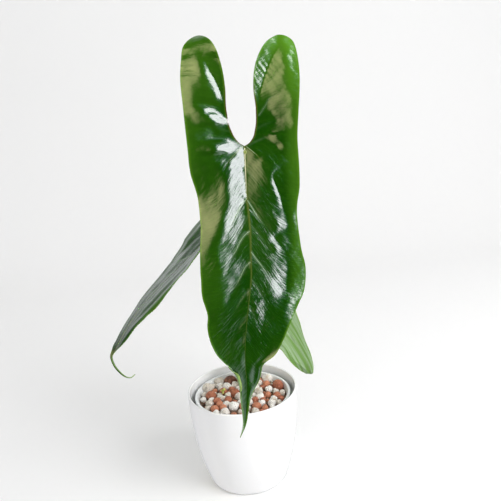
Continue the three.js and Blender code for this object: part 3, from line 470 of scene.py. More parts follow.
def new_piece(name, points, faces, finish, node, attributes=None, uv=None, sharp=40):
    """A mesh object with its place in its mesh. Points are in mm and faces are lists of indices. Attributes
    are floats at the points, and uv is a pair at the points."""
    mesh = bpy.data.meshes.new(name)
    mesh.from_pydata((np.asarray(points) * MM).tolist(), [], faces)
    for key, values in (attributes or {}).items():
        mesh.attributes.new(key, "FLOAT", "POINT").data.foreach_set("value", np.asarray(values, np.float32))
    if uv is not None:
        corner = np.empty(len(mesh.loops), np.int32)
        mesh.loops.foreach_get("vertex_index", corner)
        layer = mesh.uv_layers.new(name="Surface")
        layer.data.foreach_set("uv", np.asarray(uv, np.float32)[corner].ravel())
    mesh.shade_smooth()
    mesh.set_sharp_from_angle(angle=np.radians(sharp))
    mesh.update()
    if mesh.validate(verbose=False):
        raise RuntimeError(f"{name} had faulty faces")
    piece = bpy.data.objects.new(name, mesh)
    bpy.context.scene.collection.objects.link(piece)
    mesh.materials.append(finish)
    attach(piece, "root")
    if node:
        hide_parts(node)
    return piece


def grid_ids(rows, columns):
    """The numbers of a grid's points, counted along its rows."""
    return np.arange(rows * columns).reshape(rows, columns)


def grid_faces(ids, closed=False):
    """Quads between the rows of a grid of point ids, running right-handed from rows to columns. Corners
    that share a point make a triangle or nothing."""
    if closed:
        ids = np.concatenate([ids, ids[:, :1]], axis=1)
    quads = np.stack([ids[:-1, :-1], ids[1:, :-1], ids[1:, 1:], ids[:-1, 1:]], -1).reshape(-1, 4)
    whole = (quads != np.roll(quads, -1, axis=1)).all(1)
    faces = quads[whole].tolist()
    for quad in quads[~whole].tolist():
        kept = [v for k, v in enumerate(quad) if v != quad[k - 1]]
        if len(kept) == 3:
            faces.append(kept)
    return faces


def turned(profile, sides):
    """A closed profile of [radius, height] turned round +Z: x = r cos a, y = r sin a. Each point on the
    axis is one point, whatever the angle."""
    profile = np.asarray(profile, float)
    angle = np.linspace(0, 2 * np.pi, sides, endpoint=False)
    ring = np.stack([np.cos(angle), np.sin(angle)], -1)
    points = np.empty((len(profile), sides, 3))
    points[..., :2] = profile[:, None, :1] * ring
    points[..., 2] = profile[:, None, 1]
    ids = grid_ids(len(profile), sides)
    ids[profile[:, 0] == 0] = ids[profile[:, 0] == 0][:, :1]
    kept, faces = packed(grid_faces(ids, closed=True))
    return points.reshape(-1, 3)[kept], faces


def packed(faces):
    """Which points the faces use, and the faces with their points counted among those alone."""
    flat = np.concatenate([np.asarray(f) for f in faces])
    kept, back = np.unique(flat, return_inverse=True)
    split = np.cumsum([len(f) for f in faces])[:-1]
    return kept, [part.tolist() for part in np.split(back, split)]


def tube(path, radius, aside, sides, rings, lumps=None):
    """A round tube along a smooth path: centre + r (cos a) side + r (sin a) up, where side is square to the
    path and to `aside`. The radius follows rows of (share of the length, radius). Both ends are closed by a
    point."""
    path = np.asarray(path, float)
    knots = path_length(path, 0.5)
    dense = smooth(np.column_stack([knots, path]), np.linspace(0, knots[-1], 400))
    steps = path_length(dense)
    share = np.linspace(0, 1, rings)
    centre = np.stack([np.interp(share * steps[-1], steps, dense[:, k]) for k in range(3)], -1)
    tangent = unit(np.gradient(centre, axis=0))
    side = unit(np.cross(tangent, np.asarray(aside, float)))
    up = np.cross(tangent, side)
    angle = np.linspace(0, 2 * np.pi, sides, endpoint=False)
    r = smooth(radius, share) * np.ones(sides)
    if lumps is not None:
        r = r + lumps(column(share) * steps[-1], angle)
    points = centre[:, None] + r[..., None] * (
        np.cos(angle)[None, :, None] * side[:, None] + np.sin(angle)[None, :, None] * up[:, None]
    )
    ends = np.stack([centre[0] - 0.2 * tangent[0], centre[-1] + 0.3 * r[-1, 0] * tangent[-1]])
    ids = grid_ids(rings, sides)
    first = np.full((1, sides), rings * sides)
    last = first + 1
    faces = grid_faces(np.concatenate([first, ids, last]), closed=True)
    uv = np.stack([angle / (2 * np.pi) + 0 * r, column(share) * steps[-1] * 0.02 + 0 * r], -1)
    uv = np.concatenate([uv.reshape(-1, 2), [[0, 0], [0, 1]]])
    along = np.concatenate([(column(share) + 0 * r).ravel(), [0, 1]])
    return np.concatenate([points.reshape(-1, 3), ends]), faces, uv, along


def joined(parts):
    """Several (points, faces, values...) joined into one."""
    points, faces, extra, start = [], [], [], 0
    for part in parts:
        points.append(part[0])
        faces.extend([[v + start for v in face] for face in part[1]])
        extra.append(part[2:])
        start += len(part[0])
    return (np.concatenate(points), faces, *[np.concatenate(values) for values in zip(*extra)])


# Leaves


def row_places(count):
    """Distances along the midrib of the rows, closer together at the lobe tops and round the joint."""
    t = np.linspace(0, 1, count + 1)
    density = [(0, LOBE_TOP), (0.08, LOBE_CAP), (0.28, -12), (0.32, 0), (0.42, 28), (0.82, 200), (1, TIP)]
    places = between(density, t)
    cap = t / density[1][0]
    places = np.where(cap < 1, LOBE_TOP + (LOBE_CAP - LOBE_TOP) * cap**2, places)
    places[np.abs(places).argmin()] = 0
    return places


def profile_height(stations, s, x):
    """Height over the midrib where the slope runs straight from knot to knot of a profile. Between two knots
    a and b the slope changes by d, which adds d ((b - a) u^2 / 2 + (x - b)) with u = (x - a) / (b - a), held
    from 0 to 1. Its last part counts past b. The knots, with slopes in percent, move smoothly from station
    to station."""
    knots = smooth(stations, s).reshape(len(s), -1, 2) * (1, 0.01)
    height = knots[:, :1, 1] * x
    for k in range(knots.shape[1] - 1):
        low, high = knots[:, k, :1], knots[:, k + 1, :1]
        gain = knots[:, k + 1, 1:] - knots[:, k, 1:]
        u = np.clip((x - low) / (high - low), 0, 1)
        height += gain * ((high - low) * u**2 / 2 + np.maximum(x - high, 0))
    return height


def relief_height(leaf, side, s, x, margin, vein):
    """Height over the midrib from the leaf's relief. The back lobes turn about their vein, and their tops
    lean back by lean (-85 - s)^2. Near the margin the height at 0.92 of its distance gives way to that
    height's mean, weighed by exp(-(distance / 16)^2), so that the margin stays even whatever the slopes
    nearer the midrib do."""
    table = leaf["relief"][side]
    z = profile_height(table, s, x)
    z -= profile_height(table, s, column(vein)) * column(fade(s, -40, -10))
    z -= leaf["lean"][side] * column(np.maximum(-85 - s, 0) ** 2)
    rim = profile_height(table, s, column(0.92 * margin))[:, 0]
    near = np.exp(-(((column(s) - s) / 16) ** 2)) * np.gradient(s)
    even = (near @ rim) / near.sum(1)
    return z - column(rim - even) * fade(x / np.maximum(column(margin), 1e-6), 0.95, 0.45)


def plain_height(leaf, side, s, x, margin, away, seam_away):
    """Height over the midrib: rise x - droop x^2 / margin, less the main vein's valley depth exp(-away / 8),
    which doesn't reach the midrib, plus waves that grow with (x / 50)^3."""
    depth = lambda d: column(between(VALLEY, s)) * np.exp(-(np.hypot(d, 1.2) - 1.2) / 8)
    seam = np.where(column(s) >= 0, depth(seam_away) * np.exp(-x / 6), 0)
    wave = leaf["wave"]["height"] * (x / 50) ** 3 * np.sin(2 * np.pi * column(s) / 86 + leaf["wave"][side])
    bow = column(between(leaf["droop"], s)) * x**2 / np.maximum(column(margin), 1e-6)
    return column(between(leaf["rise"], s)) * x - bow + seam - depth(away) + wave


def branch_valleys(side, rows, x):
    """How deep each place is sunk, by depth exp(-away / reach) of each branch vein, and how pale it is."""
    depth = np.zeros_like(x)
    pale = np.zeros_like(x)
    start = 0.05 if side == "left" else 0.25
    for sunk, width, tone, path in BRANCHES[side]:
        away, at = path_distance(rows, x, path)
        strength = fade(at, start, 0) * (1 - 0.5 * at) * fade(at, 0.75, 1)
        depth += sunk * strength * np.exp(-(np.hypot(away, 0.5) - 0.5) / width)
        pale = np.maximum(pale, 0.3 * tone * fade(away, 0.2, 1.6) * fade(at, 0.25, 0.6))
    return depth, pale


def fine_relief(leaf, side, key, rows, x, vein):
    """Pleats and ripples between the veins: short pleats 6.2 mm apart on the sinus side of the lobe's vein,
    pleats 15 mm apart along the blade where the leaf has them, ripples across it in patches, and ripples
    any way."""
    flat = np.stack([rows, x], -1)
    lobe_side = fade(rows, -55, -42) * fade(rows, -78, -90) * fade(x - column(vein), -2, 0)
    pleat = np.sin(2 * np.pi * (rows - 1.2 * x) / 6.2 + 1.1 * ripples(flat, 4, 5, 14, 25))
    height = LOBE_PLEATS[side] * pleat * lobe_side
    height += leaf.get("pleats", 0) * np.sin(2 * np.pi * (x + 0.05 * rows) / 15) * fade(x, 8, 2)
    patch = 0.55 + 0.45 * ripples(flat, key, 6, 30, 60)
    cross = ripples(flat, key + 1, 14, 3, 6, along=(1, -0.6), spread=0.55)
    return height + 0.06 * cross * patch + 0.06 * ripples(flat, key + 2, 10, 8, 16)


def margin_roll(turn):
    """Section of the rolled margin, one unit long, for each row: its angle grows from 0 to `turn` over the
    first 55% of its way and then stays. Gives how far out and how far up each even step ends."""
    bend = column(turn) * fade(np.linspace(0, 1, ROLL_COUNT + 1), 0.55, 0)
    angle = bend[:, 1:] / 2 + bend[:, :-1] / 2
    start = np.zeros((len(turn), 1))
    return [np.concatenate([start, np.cumsum(part, axis=1)], axis=1) / ROLL_COUNT
            for part in (np.cos(angle), np.sin(angle))]


def rolled_margin(x, z, band, roll):
    """Distances and heights of the columns past the last one: the roll's section, as long as the band is
    broad, set on at the slope between the last two columns."""
    slope = np.arctan2(z[:, -1:] - z[:, -2:-1], np.maximum(x[:, -1:] - x[:, -2:-1], 1e-6))
    out, up = (column(band) * part[:, ROLL_STEPS] for part in roll)
    return (
        x[:, -1:] + out * np.cos(slope) - up * np.sin(slope),
        z[:, -1:] + out * np.sin(slope) + up * np.cos(slope),
    )


def half_columns(counts, s, inside, outside):
    """Distances from the midrib of the columns, from the inside to the main side vein, closer together near
    both, and on to where the margin starts to roll. Also gives that vein's distance."""
    free = outside - inside
    vein = np.clip(outline(MAIN_VEIN, s), inside + np.minimum(1.3, 0.3 * free), outside - 0.25 * free)
    inner, outer = counts
    t = np.linspace(0, 1, inner)
    near = 0.35 * t + 0.65 * (1 - np.cos(np.pi * t)) / 2
    far = np.linspace(0, 1, outer + 1)[1:] ** 1.15
    parts = [column(inside) + column(vein - inside) * near, column(vein) + column(outside - vein) * far]
    return np.concatenate(parts, axis=1), vein


def finish_values(side, rows, flat_x, inside, main, branch):
    """What the finish reads at each place, from 0 to 1: the midrib and the main vein's start, the branch
    veins, the thin edge, the bare vein along the sinus, the main side vein, and how much painted glow of
    light through the blade lightens the green."""
    rib = np.where(rows >= 0, 0.3 * fade(flat_x, 0.2, 1.8) * fade(rows, 30, 215), 0)
    near_joint = np.where(rows >= 0, 0.24 * fade(np.hypot(rows, flat_x), 8, 34), 0)
    to_sinus = flat_x - column(inside)
    to_edge = np.minimum(flat_x[:, -1:] - flat_x, np.where(rows < 0, to_sinus, 99))
    lobe = fade(rows, -75, -20)
    top = fade(rows, -96, -70)
    # Painted glow: the green is lightened where light shines through the blade, most on the right half's
    # margin and the lobe tops
    if side == "right":
        painted_glow = 0.3 * fade(flat_x, 46, 34) + 0.3 * lobe + 0.4 * top
    else:
        painted_glow = 0.08 * fade(flat_x, 32, 16) + 0.1 * fade(flat_x, 54, 36) + 0.1 * lobe + 0.1 * top
    return {
        "rib": np.maximum(rib, fade(main, 0.1, 1.2) * near_joint),
        "branch": branch,
        "edge": fade(to_edge, 0, 2.4),
        "naked": np.where(rows < 0, fade(to_sinus, 0.4, 1.6) * fade(rows, -30, -70), 0),
        "main": fade(main, 0.2, 2.0),
        "painted_glow": painted_glow,
    }


def half_blade(leaf, side, s):
    """A half blade before it is bent along its midrib, as named arrays of rows by columns: x and z are the
    distance from the midrib and the height over it, flat_x is that distance on the flat blade, `along` is
    where a line beside the branch veins would leave the midrib, keel is how much thicker the veins are, and
    the rest is for the finish.

    The height is the leaf's relief or rise, less the valleys of the branch veins, plus pleats and ripples
    that fade at the edges, puckers beside the midrib low on the right half, and a rib that falls off by
    exp(-(x / 0.8)^2). The last columns roll the margin."""
    margin = outline(OUTER_EDGE[side], s)
    inside = np.where(s < 0, outline(SINUS_EDGE[side], np.minimum(s, 0)), 0)
    band = np.minimum(between(leaf["band"][side], s), 0.45 * (margin - inside))
    roll = margin_roll(between(leaf["turn"][side], s))
    x, vein = half_columns(leaf["columns"], s, inside, margin - band * roll[0].max(axis=1))
    slant = outline(MAIN_VEIN, s + 0.5) - outline(MAIN_VEIN, s - 0.5)
    square = column(1 / np.sqrt(1 + slant**2))
    rows = column(s) + 0 * x
    main = np.abs(x - column(vein)) * square
    if "relief" in leaf:
        z = relief_height(leaf, side, s, x, margin, vein)
    else:
        z = plain_height(leaf, side, s, x, margin, main, column(vein) * square)
    calm = fade(np.minimum(x - column(inside), column(margin) - x), 3, 0) * fade(rows, 190, 225)
    sunk, branch = branch_valleys(side, rows, x)
    key = leaf["seed"] + (50 if side == "left" else 0)
    z += (fine_relief(leaf, side, key, rows, x, vein) - sunk) * calm
    if side == "right":
        spot = np.exp(-(((rows - 152) / 14) ** 2) - (((x - 6) / 5) ** 2))
        z += 0.18 * ripples(np.stack([rows, x], -1), key + 3, 8, 5, 9) * spot
    z += np.where(rows >= 0, 0.15 * np.exp(-((x / 0.8) ** 2)) * fade(rows, 25, 90), 0)

    # The columns of the rolled margin, and what goes by both
    roll_x, roll_z = rolled_margin(x, z, band, roll)
    flat_x = np.concatenate([x, x[:, -1:] + column(band) * np.array(ROLL_STEPS) / ROLL_COUNT], axis=1)
    x = np.concatenate([x, roll_x], axis=1)
    z = np.concatenate([z, roll_z], axis=1)
    pad = ((0, 0), (0, len(ROLL_STEPS)))
    rows = np.pad(rows, pad, mode="edge")
    branch = np.pad(branch, pad, mode="edge")
    main = np.pad(main, pad, constant_values=99.0)
    keel = np.where(rows >= 0, 1.2 * fade(flat_x, 0, 2.6) * np.clip(1 - rows / 230, 0, 1), 0)
    spread = 42 * np.tanh((flat_x + flat_x**2 / 30) / 42)
    breadth = column(between(leaf["breadth"][side], s)) * leaf["size"]
    return {
        "x": x * breadth,
        "z": z * breadth,
        "flat_x": flat_x,
        "along": rows - between([(-98, -0.3), (-30, -0.3), (40, 0.9), (288, 0.9)], rows) * spread,
        "keel": keel + 0.25 * fade(main, 0, 2.4) + 0.25 * branch,
        **finish_values(side, rows, flat_x, inside, main, branch),
    }


def on_half(grid, flat_x, s, at_s, at_x):
    """Points of a half blade at places given by their distances along the midrib and from it. Each lies
    straight between the nearest rows and columns."""
    low = np.clip(np.searchsorted(s, at_s) - 1, 0, len(s) - 2)
    share = np.clip((at_s - s[low]) / (s[low + 1] - s[low]), 0, 1)
    found = np.zeros((len(low), 3))
    for row, weight in ((low, 1 - share), (low + 1, share)):
        for k in range(3):
            found[:, k] += weight * [np.interp(x, flat_x[r], grid[r, :, k]) for x, r in zip(at_x, row)]
    return found


def vein_line(middle, aside, out, half, rise, tone):
    """A thin raised line with a three-sided section, whose foot lies 0.06 mm in the blade."""
    foot = middle - 0.06 * out
    reach = column(half) * aside
    ring = np.stack([foot - reach, middle + column(rise) * out, foot + reach], 1)
    ids = grid_ids(len(ring), 3)
    return ring.reshape(-1, 3), grid_faces(ids[:, ::-1], closed=True), np.repeat(tone, 3)


def branch_lines(grid, flat_x, s, side, sign):
    """The pale branch veins of a half blade, each a line that thins out along its path."""
    found = []
    for _, _, pale, path in [*BRANCHES[side], (0, 0, 0.9, JOINT_VEIN)]:
        if pale < 0.3:
            continue
        path = np.asarray(path, float)
        steps = path_length(path)
        t = np.linspace(0, 0.62, 44)
        line = smooth(np.column_stack([steps, path]), t * steps[-1])
        at = lambda ds, dx: on_half(grid, flat_x, s, line[:, 0] + ds, np.maximum(line[:, 1] + dx, 0))
        middle = at(0, 0)
        out = unit(np.cross(at(0, 0.5) - middle, at(0.6, 0) - at(-0.6, 0))) * -sign
        aside = unit(np.cross(out, np.gradient(middle, axis=0)))
        thin = fade(t, 0.25, 0.62) * pale
        drawn = vein_line(middle, aside, out, 0.08 + 0.22 * thin, 0.02 + 0.09 * thin, thin)
        found.append((*drawn, np.zeros(3 * len(t))))
    return found


def bent_blade(leaf):
    """The blade's upper face: its points and faces, named values at the points, and raised vein lines.

    A place is spine(s) + x across + z facing, where facing is square to the midrib and across = facing x
    tangent. The halves share the midrib from the stalk to the tip."""
    s = row_places(leaf["rows"])
    spine = smooth(leaf["spine"], s)
    tangent = unit(smooth(leaf["spine"], s + 0.5) - smooth(leaf["spine"], s - 0.5))
    facing = smooth(leaf["facing"], s)
    facing = unit(facing - (facing * tangent).sum(-1, keepdims=True) * tangent)
    across = np.cross(facing, tangent)
    halves, ids, lines, start = [], [], [], 0
    for side, sign in (("left", -1), ("right", 1)):
        half = half_blade(leaf, side, s)
        x, z = half.pop("x"), half.pop("z")
        points = spine[:, None] + sign * x[..., None] * across[:, None] + z[..., None] * facing[:, None]
        lift = leaf.get("lift", {}).get(side, 0)
        points -= lift * (column(fade(s, LOBE_TOP, -78)) * tangent)[:, None]
        lines += branch_lines(points, half["flat_x"], s, side, sign)
        half["flat_x"] = sign * half["flat_x"]
        halves.append({"points": points, **half})
        grid = start + grid_ids(*x.shape)
        grid[0] = grid[0, 0]
        start += x.size
        ids.append(grid)
    ids[0][-1] = ids[0][-1, 0]
    ids[1][-1] = ids[0][-1, 0]
    ids[1][s >= 0, 0] = ids[0][s >= 0, 0]
    kept, faces = packed(grid_faces(ids[0][:, ::-1]) + grid_faces(ids[1]))
    values = {}
    for key, part in halves[0].items():
        shape = (-1, *part.shape[2:])
        values[key] = np.concatenate([half[key].reshape(shape) for half in halves])[kept]

    # The pale line along the midrib
    long = (s >= 1) & (s < 262)
    middle = halves[0]["points"][long, 0]
    breadth = between([(0, 0.7), (40, 0.38), (110, 0.26), (288, 0.16)], s[long]) * leaf["size"]
    tone = (0.3 + 0.7 * fade(s[long], 15, 60)) * fade(s[long], 205, 262)
    midrib = vein_line(middle, -across[long], facing[long], breadth, 0.08 + 0.35 * breadth, 0 * tone)
    lines.append((*midrib, np.repeat(tone, 3)))
    return values.pop("points"), faces, values, joined(lines)


def face_normals(points, faces):
    """Normals at the points: the sum of the area vectors of the faces round each, made one long."""
    tri = np.array([f[:3] for f in faces] + [[f[0], f[2], f[3]] for f in faces if len(f) == 4])
    a, b, c = points[tri[:, 0]], points[tri[:, 1]], points[tri[:, 2]]
    area = np.cross(b - a, c - a)
    total = np.zeros_like(points)
    for k in range(3):
        np.add.at(total, tri[:, k], area)
    return unit(total)


def closed_sheet(points, faces, thickness):
    """An open sheet made solid: a second face lies under it along its normals, and walls close its edges."""
    normals = face_normals(points, faces)
    count = len(points)
    under = points - normals * np.asarray(thickness)[..., None]
    edges = np.array([(f[k], f[(k + 1) % len(f)]) for f in faces for k in range(len(f))])
    forward = edges[:, 0] * count + edges[:, 1]
    backward = edges[:, 1] * count + edges[:, 0]
    free = edges[~np.isin(forward, backward)]
    walls = np.stack([free[:, 1], free[:, 0], free[:, 0] + count, free[:, 1] + count], -1).tolist()
    lower = [[v + count for v in reversed(f)] for f in faces]
    return np.concatenate([points, under]), faces + lower + walls


# Finishes


class Nodes:
    """A node tree, with short calls for the nodes that the finishes and the world use."""

    def __init__(self, tree):
        self.nodes = tree.nodes
        self.links = tree.links

    def put(self, socket, value):
        """Links a socket or sets its value. A colour of three numbers gets a fourth."""
        if isinstance(value, bpy.types.NodeSocket):
            self.links.new(value, socket)
        elif socket.type == "RGBA":
            socket.default_value = (*value, 1)
        else:
            socket.default_value = value

    def node(self, kind, inputs=None, **settings):
        """A new node with its inputs, by name or number, and its settings."""
        node = self.nodes.new(kind)
        for key, value in settings.items():
            setattr(node, key, value)
        for key, value in (inputs or {}).items():
            self.put(node.inputs[key], value)
        return node

    def ramp(self, value, low, high):
        """0 at `low`, 1 at `high`, and a smooth step between."""
        inputs = {"Value": value, "From Min": low, "From Max": high}
        return self.node("ShaderNodeMapRange", inputs, interpolation_type="SMOOTHSTEP").outputs["Result"]

    def mix(self, share, a, b, blend="MIX"):
        """(1 - share) a + share b, or another way to blend them by share."""
        node = self.node("ShaderNodeMix", {0: share, 6: a, 7: b}, data_type="RGBA", blend_type=blend)
        return node.outputs[2]

    def maths(self, operation, a, b=0.0):
        """One step of arithmetic on a and b."""
        return self.node("ShaderNodeMath", {0: a, 1: b}, operation=operation).outputs[0]

    def tint(self, base, mask, share, colour):
        """A base colour moved towards another one by share times mask."""
        return self.mix(self.maths("MULTIPLY", mask, share), base, colour)


class Finish(Nodes):
    """A material. Its patterns lie in Object coordinates, or along the piece's own map."""

    def __init__(self, name):
        self.material = bpy.data.materials.new(name)
        self.material.use_nodes = True
        super().__init__(self.material.node_tree)
        self.shader = self.nodes["Principled BSDF"]
        coordinates = self.nodes.new("ShaderNodeTexCoord")
        self.place = coordinates.outputs["Object"]
        self.uv = coordinates.outputs["UV"]

    def attribute(self, name):
        """A named value at the mesh's points, from 0 to 1."""
        return self.node("ShaderNodeAttribute", attribute_name=name).outputs["Fac"]

    def noise(self, scale, detail=3.0, rough=0.55, vector=None):
        """Soft noise round 0.5, with `scale` features in a metre and `detail` finer layers on top."""
        inputs = {"Vector": vector or self.place, "Scale": scale, "Detail": detail, "Roughness": rough}
        return self.node("ShaderNodeTexNoise", inputs).outputs["Fac"]

    def cells(self, scale):
        """Distance to the nearest of scattered points, `scale` of them in a metre."""
        return self.node("ShaderNodeTexVoronoi", {"Vector": self.place, "Scale": scale}).outputs["Distance"]

    def stretched(self, scale, vector=None):
        """Coordinates times a scale for each axis."""
        inputs = {"Vector": vector or self.place, "Scale": scale}
        return self.node("ShaderNodeMapping", inputs).outputs["Vector"]

    def bump(self, height, distance, strength=1.0, normal=None):
        """The normal tilted by the slope of height times a distance in metres."""
        inputs = {"Height": height, "Distance": distance, "Strength": strength}
        if normal is not None:
            inputs["Normal"] = normal
        return self.node("ShaderNodeBump", inputs).outputs["Normal"]

    def done(self, **sockets):
        """Sets the shader's sockets by their names, in small letters with low lines."""
        for key, value in sockets.items():
            name = key.replace("_", " ").title().replace("Ior", "IOR")
            self.put(self.shader.inputs[name], value)
        return self.material


def blade_finish(look):
    """Waxy deep green with pale ribs above, matt pale green below, and wrinkles along the branch veins."""
    f = Finish("leaf_blade")
    broad = f.ramp(f.noise(22, 4, 0.6), 0.3, 0.75)
    fine = f.noise(260, 4, 0.6)
    wrinkle = f.noise(1, 3, 0.55, f.stretched((110, 480, 1), f.uv))
    green = f.tint(look.green_deep, broad, 0.08, look.green_fresh_and_glow)
    # Painted glow of light through the blade lightens the green
    green = f.mix(f.attribute("painted_glow"), green, look.green_fresh_and_glow)
    green = f.tint(green, f.ramp(wrinkle, 0.45, 0.75), 0.05, look.green_fresh_and_glow)
    # Pale branch veins: partly their own tone, partly painted highlight of light catching their raised lines
    green = f.mix(f.attribute("branch"), green, look.vein)
    # The midrib: cream near the stalk, partly its own pale tone and partly painted highlight, olive farther
    # down
    tone = f.mix(f.ramp(f.attribute("rib"), 0.35, 0.95), look.rib_low, look.rib)
    green = f.mix(f.ramp(f.attribute("rib"), 0.0, 0.3), green, tone)
    # Painted glow: the thin margin of the upper face is tinted lighter, as light shining through it
    green = f.tint(green, f.attribute("edge"), 0.35, look.edge)
    streak = f.noise(1, 2, 0.5, f.stretched((130, 9, 1), f.uv))
    below = f.mix(f.ramp(streak, 0.4, 0.58), look.under, look.under_light)
    below = f.tint(below, f.attribute("main"), 0.25, look.under_rib)
    below = f.mix(f.attribute("rib"), below, look.under_rib)
    below = f.tint(below, f.attribute("branch"), 0.5, look.under_rib)
    below = f.tint(below, f.attribute("edge"), 0.8, look.under_edge)
    colour = f.mix(f.attribute("under"), green, below)
    colour = f.tint(colour, f.attribute("naked"), 0.85, (0.07, 0.025, 0.008))
    rough = f.mix(f.attribute("under"), (look.gloss,) * 3, (0.55,) * 3)
    bumped = f.bump(wrinkle, look.wrinkle, 0.8, f.bump(fine, 0.0001, 0.5))
    return f.done(base_color=colour, roughness=rough, ior=1.46, normal=bumped)


def stalk_finish(look):
    """Smooth green with pale lengthwise streaks and a paler, browner joint below the blade."""
    f = Finish("leaf_stalk")
    streak = f.noise(1, 4, 0.6, f.stretched((700, 700, 25)))
    colour = f.mix(f.ramp(streak, 0.35, 0.7), look.stalk, look.stalk_light)
    colour = f.tint(colour, f.ramp(f.noise(420, 2), 0.62, 0.72), 0.5, (0.45, 0.5, 0.25))
    colour = f.tint(colour, f.ramp(f.attribute("along"), 0.915, 0.94), 0.75, (0.2, 0.22, 0.05))
    return f.done(base_color=colour, roughness=0.38, normal=f.bump(streak, 0.0004, 0.3))


def stem_finish():
    """Green-brown bark with ring scars."""
    f = Finish("stem_bark")
    grain = f.noise(180, 5, 0.65)
    colour = f.mix(f.ramp(grain, 0.3, 0.7), (0.1, 0.13, 0.035), (0.32, 0.27, 0.12))
    colour = f.tint(colour, f.ramp(f.noise(60, 3), 0.5, 0.7), 0.5, (0.16, 0.09, 0.04))
    return f.done(base_color=colour, roughness=0.6, normal=f.bump(grain, 0.001, 0.5))


def root_finish():
    """Velvety pale tan with a greener growing end."""
    f = Finish("root_skin")
    grain = f.noise(500, 4, 0.7)
    colour = f.mix(f.ramp(f.noise(90, 3), 0.35, 0.7), (0.36, 0.3, 0.18), (0.55, 0.5, 0.36))
    colour = f.tint(colour, f.ramp(grain, 0.55, 0.7), 0.6, (0.2, 0.13, 0.07))
    return f.done(base_color=colour, roughness=0.85, normal=f.bump(grain, 0.0006, 0.6))


def sheath_finish():
    """Dry tan paper with darker lengthwise fibres."""
    f = Finish("sheath_paper")
    fibre = f.noise(1, 5, 0.6, f.stretched((60, 2.2, 1), f.uv))
    colour = f.mix(f.ramp(fibre, 0.35, 0.65), (0.26, 0.15, 0.07), (0.62, 0.45, 0.24))
    colour = f.mix(f.ramp(f.noise(110, 3), 0.6, 0.75), colour, (0.2, 0.11, 0.05))
    return f.done(base_color=colour, roughness=0.75, normal=f.bump(fibre, 0.0008, 0.6))


def clay_finish(look):
    """Baked clay: each pebble has its own red-brown, under fine dust, with painted shade in its pores."""
    f = Finish("baked_clay")
    shade = f.attribute("shade")
    # Darkest where shade is 0, which is the one shaded stone's painted shade
    colour = f.mix(f.ramp(shade, 0.0, 0.35), look.clay_dark_and_shade, look.clay)
    colour = f.mix(f.ramp(shade, 0.35, 1.0), colour, look.clay_light)
    colour = f.tint(colour, f.ramp(f.noise(170, 5, 0.65), 0.35, 0.7), 0.5, look.clay_light)
    pores = f.ramp(f.cells(900), 0.12, 0.3)
    # Painted shade: the pores are darkened as shade inside them
    colour = f.mix(pores, (0.09, 0.03, 0.02), colour)
    height = f.maths("ADD", f.maths("MULTIPLY", pores, 0.6), f.noise(1400, 3, 0.7))
    return f.done(base_color=colour, roughness=0.85, normal=f.bump(height, 0.0004, 0.6))


def pumice_finish(look):
    """Pumice: off-white foam with painted shade in its hollows and some tan stains."""
    f = Finish("pumice")
    shade = f.attribute("shade")
    colour = f.mix(f.ramp(shade, 0.1, 0.9), look.pumice_grey, look.pumice)
    colour = f.tint(colour, f.ramp(f.noise(120, 4, 0.6), 0.56, 0.7), 0.45, look.pumice_stain)
    pores = f.ramp(f.cells(620), 0.1, 0.34)
    fine = f.ramp(f.cells(1500), 0.08, 0.3)
    # Painted shade: the hollows are greyed as shade inside them
    colour = f.mix(pores, (0.3, 0.26, 0.22), colour)
    height = f.maths("ADD", f.maths("MULTIPLY", pores, 0.8), f.maths("MULTIPLY", fine, 0.4))
    return f.done(base_color=colour, roughness=0.9, normal=f.bump(height, 0.0007, 0.7))


def grit_and_gap_shade_finish():
    """Grit between the stones, its own brown darkened as painted shade in the gaps."""
    f = Finish("grit")
    grain = f.noise(380, 5, 0.7)
    # Painted shade: the grit is dark to stand in for shade in the gaps between the stones
    colour = f.mix(f.ramp(grain, 0.4, 0.65), (0.05, 0.025, 0.015), (0.3, 0.18, 0.12))
    return f.done(base_color=colour, roughness=0.9, normal=f.bump(grain, 0.0015, 0.8))


def cover_pot_finish(look):
    """Gloss white with the faint waviness of a moulded wall, and a lighter inner wall as painted light."""
    f = Finish("cover_pot_gloss")
    soft = f.noise(14, 2, 0.5)
    colour = f.tint(look.white, f.ramp(f.noise(45, 4), 0.3, 0.8), 0.4, look.white_warm)
    # Painted light: the inner wall gets a lighter white to stand in for light reaching into the pot
    colour = f.mix(f.attribute("inside"), colour, look.white_inside_lit)
    return f.done(base_color=colour, roughness=0.16, ior=1.5, normal=f.bump(soft, 0.0008, 0.15))


def nursery_pot_finish(look):
    """Milky thin plastic, slightly clouded."""
    f = Finish("nursery_pot_milky")
    cloud = f.noise(55, 4, 0.6)
    colour = f.mix(f.ramp(cloud, 0.3, 0.75), look.milky, look.milky_light)
    return f.done(base_color=colour, roughness=0.3, ior=1.5, normal=f.bump(cloud, 0.0012, 0.3))


# Settings


def colour_setting(name, description, default):
    """A colour, as three linear numbers from 0 to 1."""
    return FloatVectorProperty(
        name=name, description=description, default=default, size=3, min=0, max=1, subtype="COLOR")


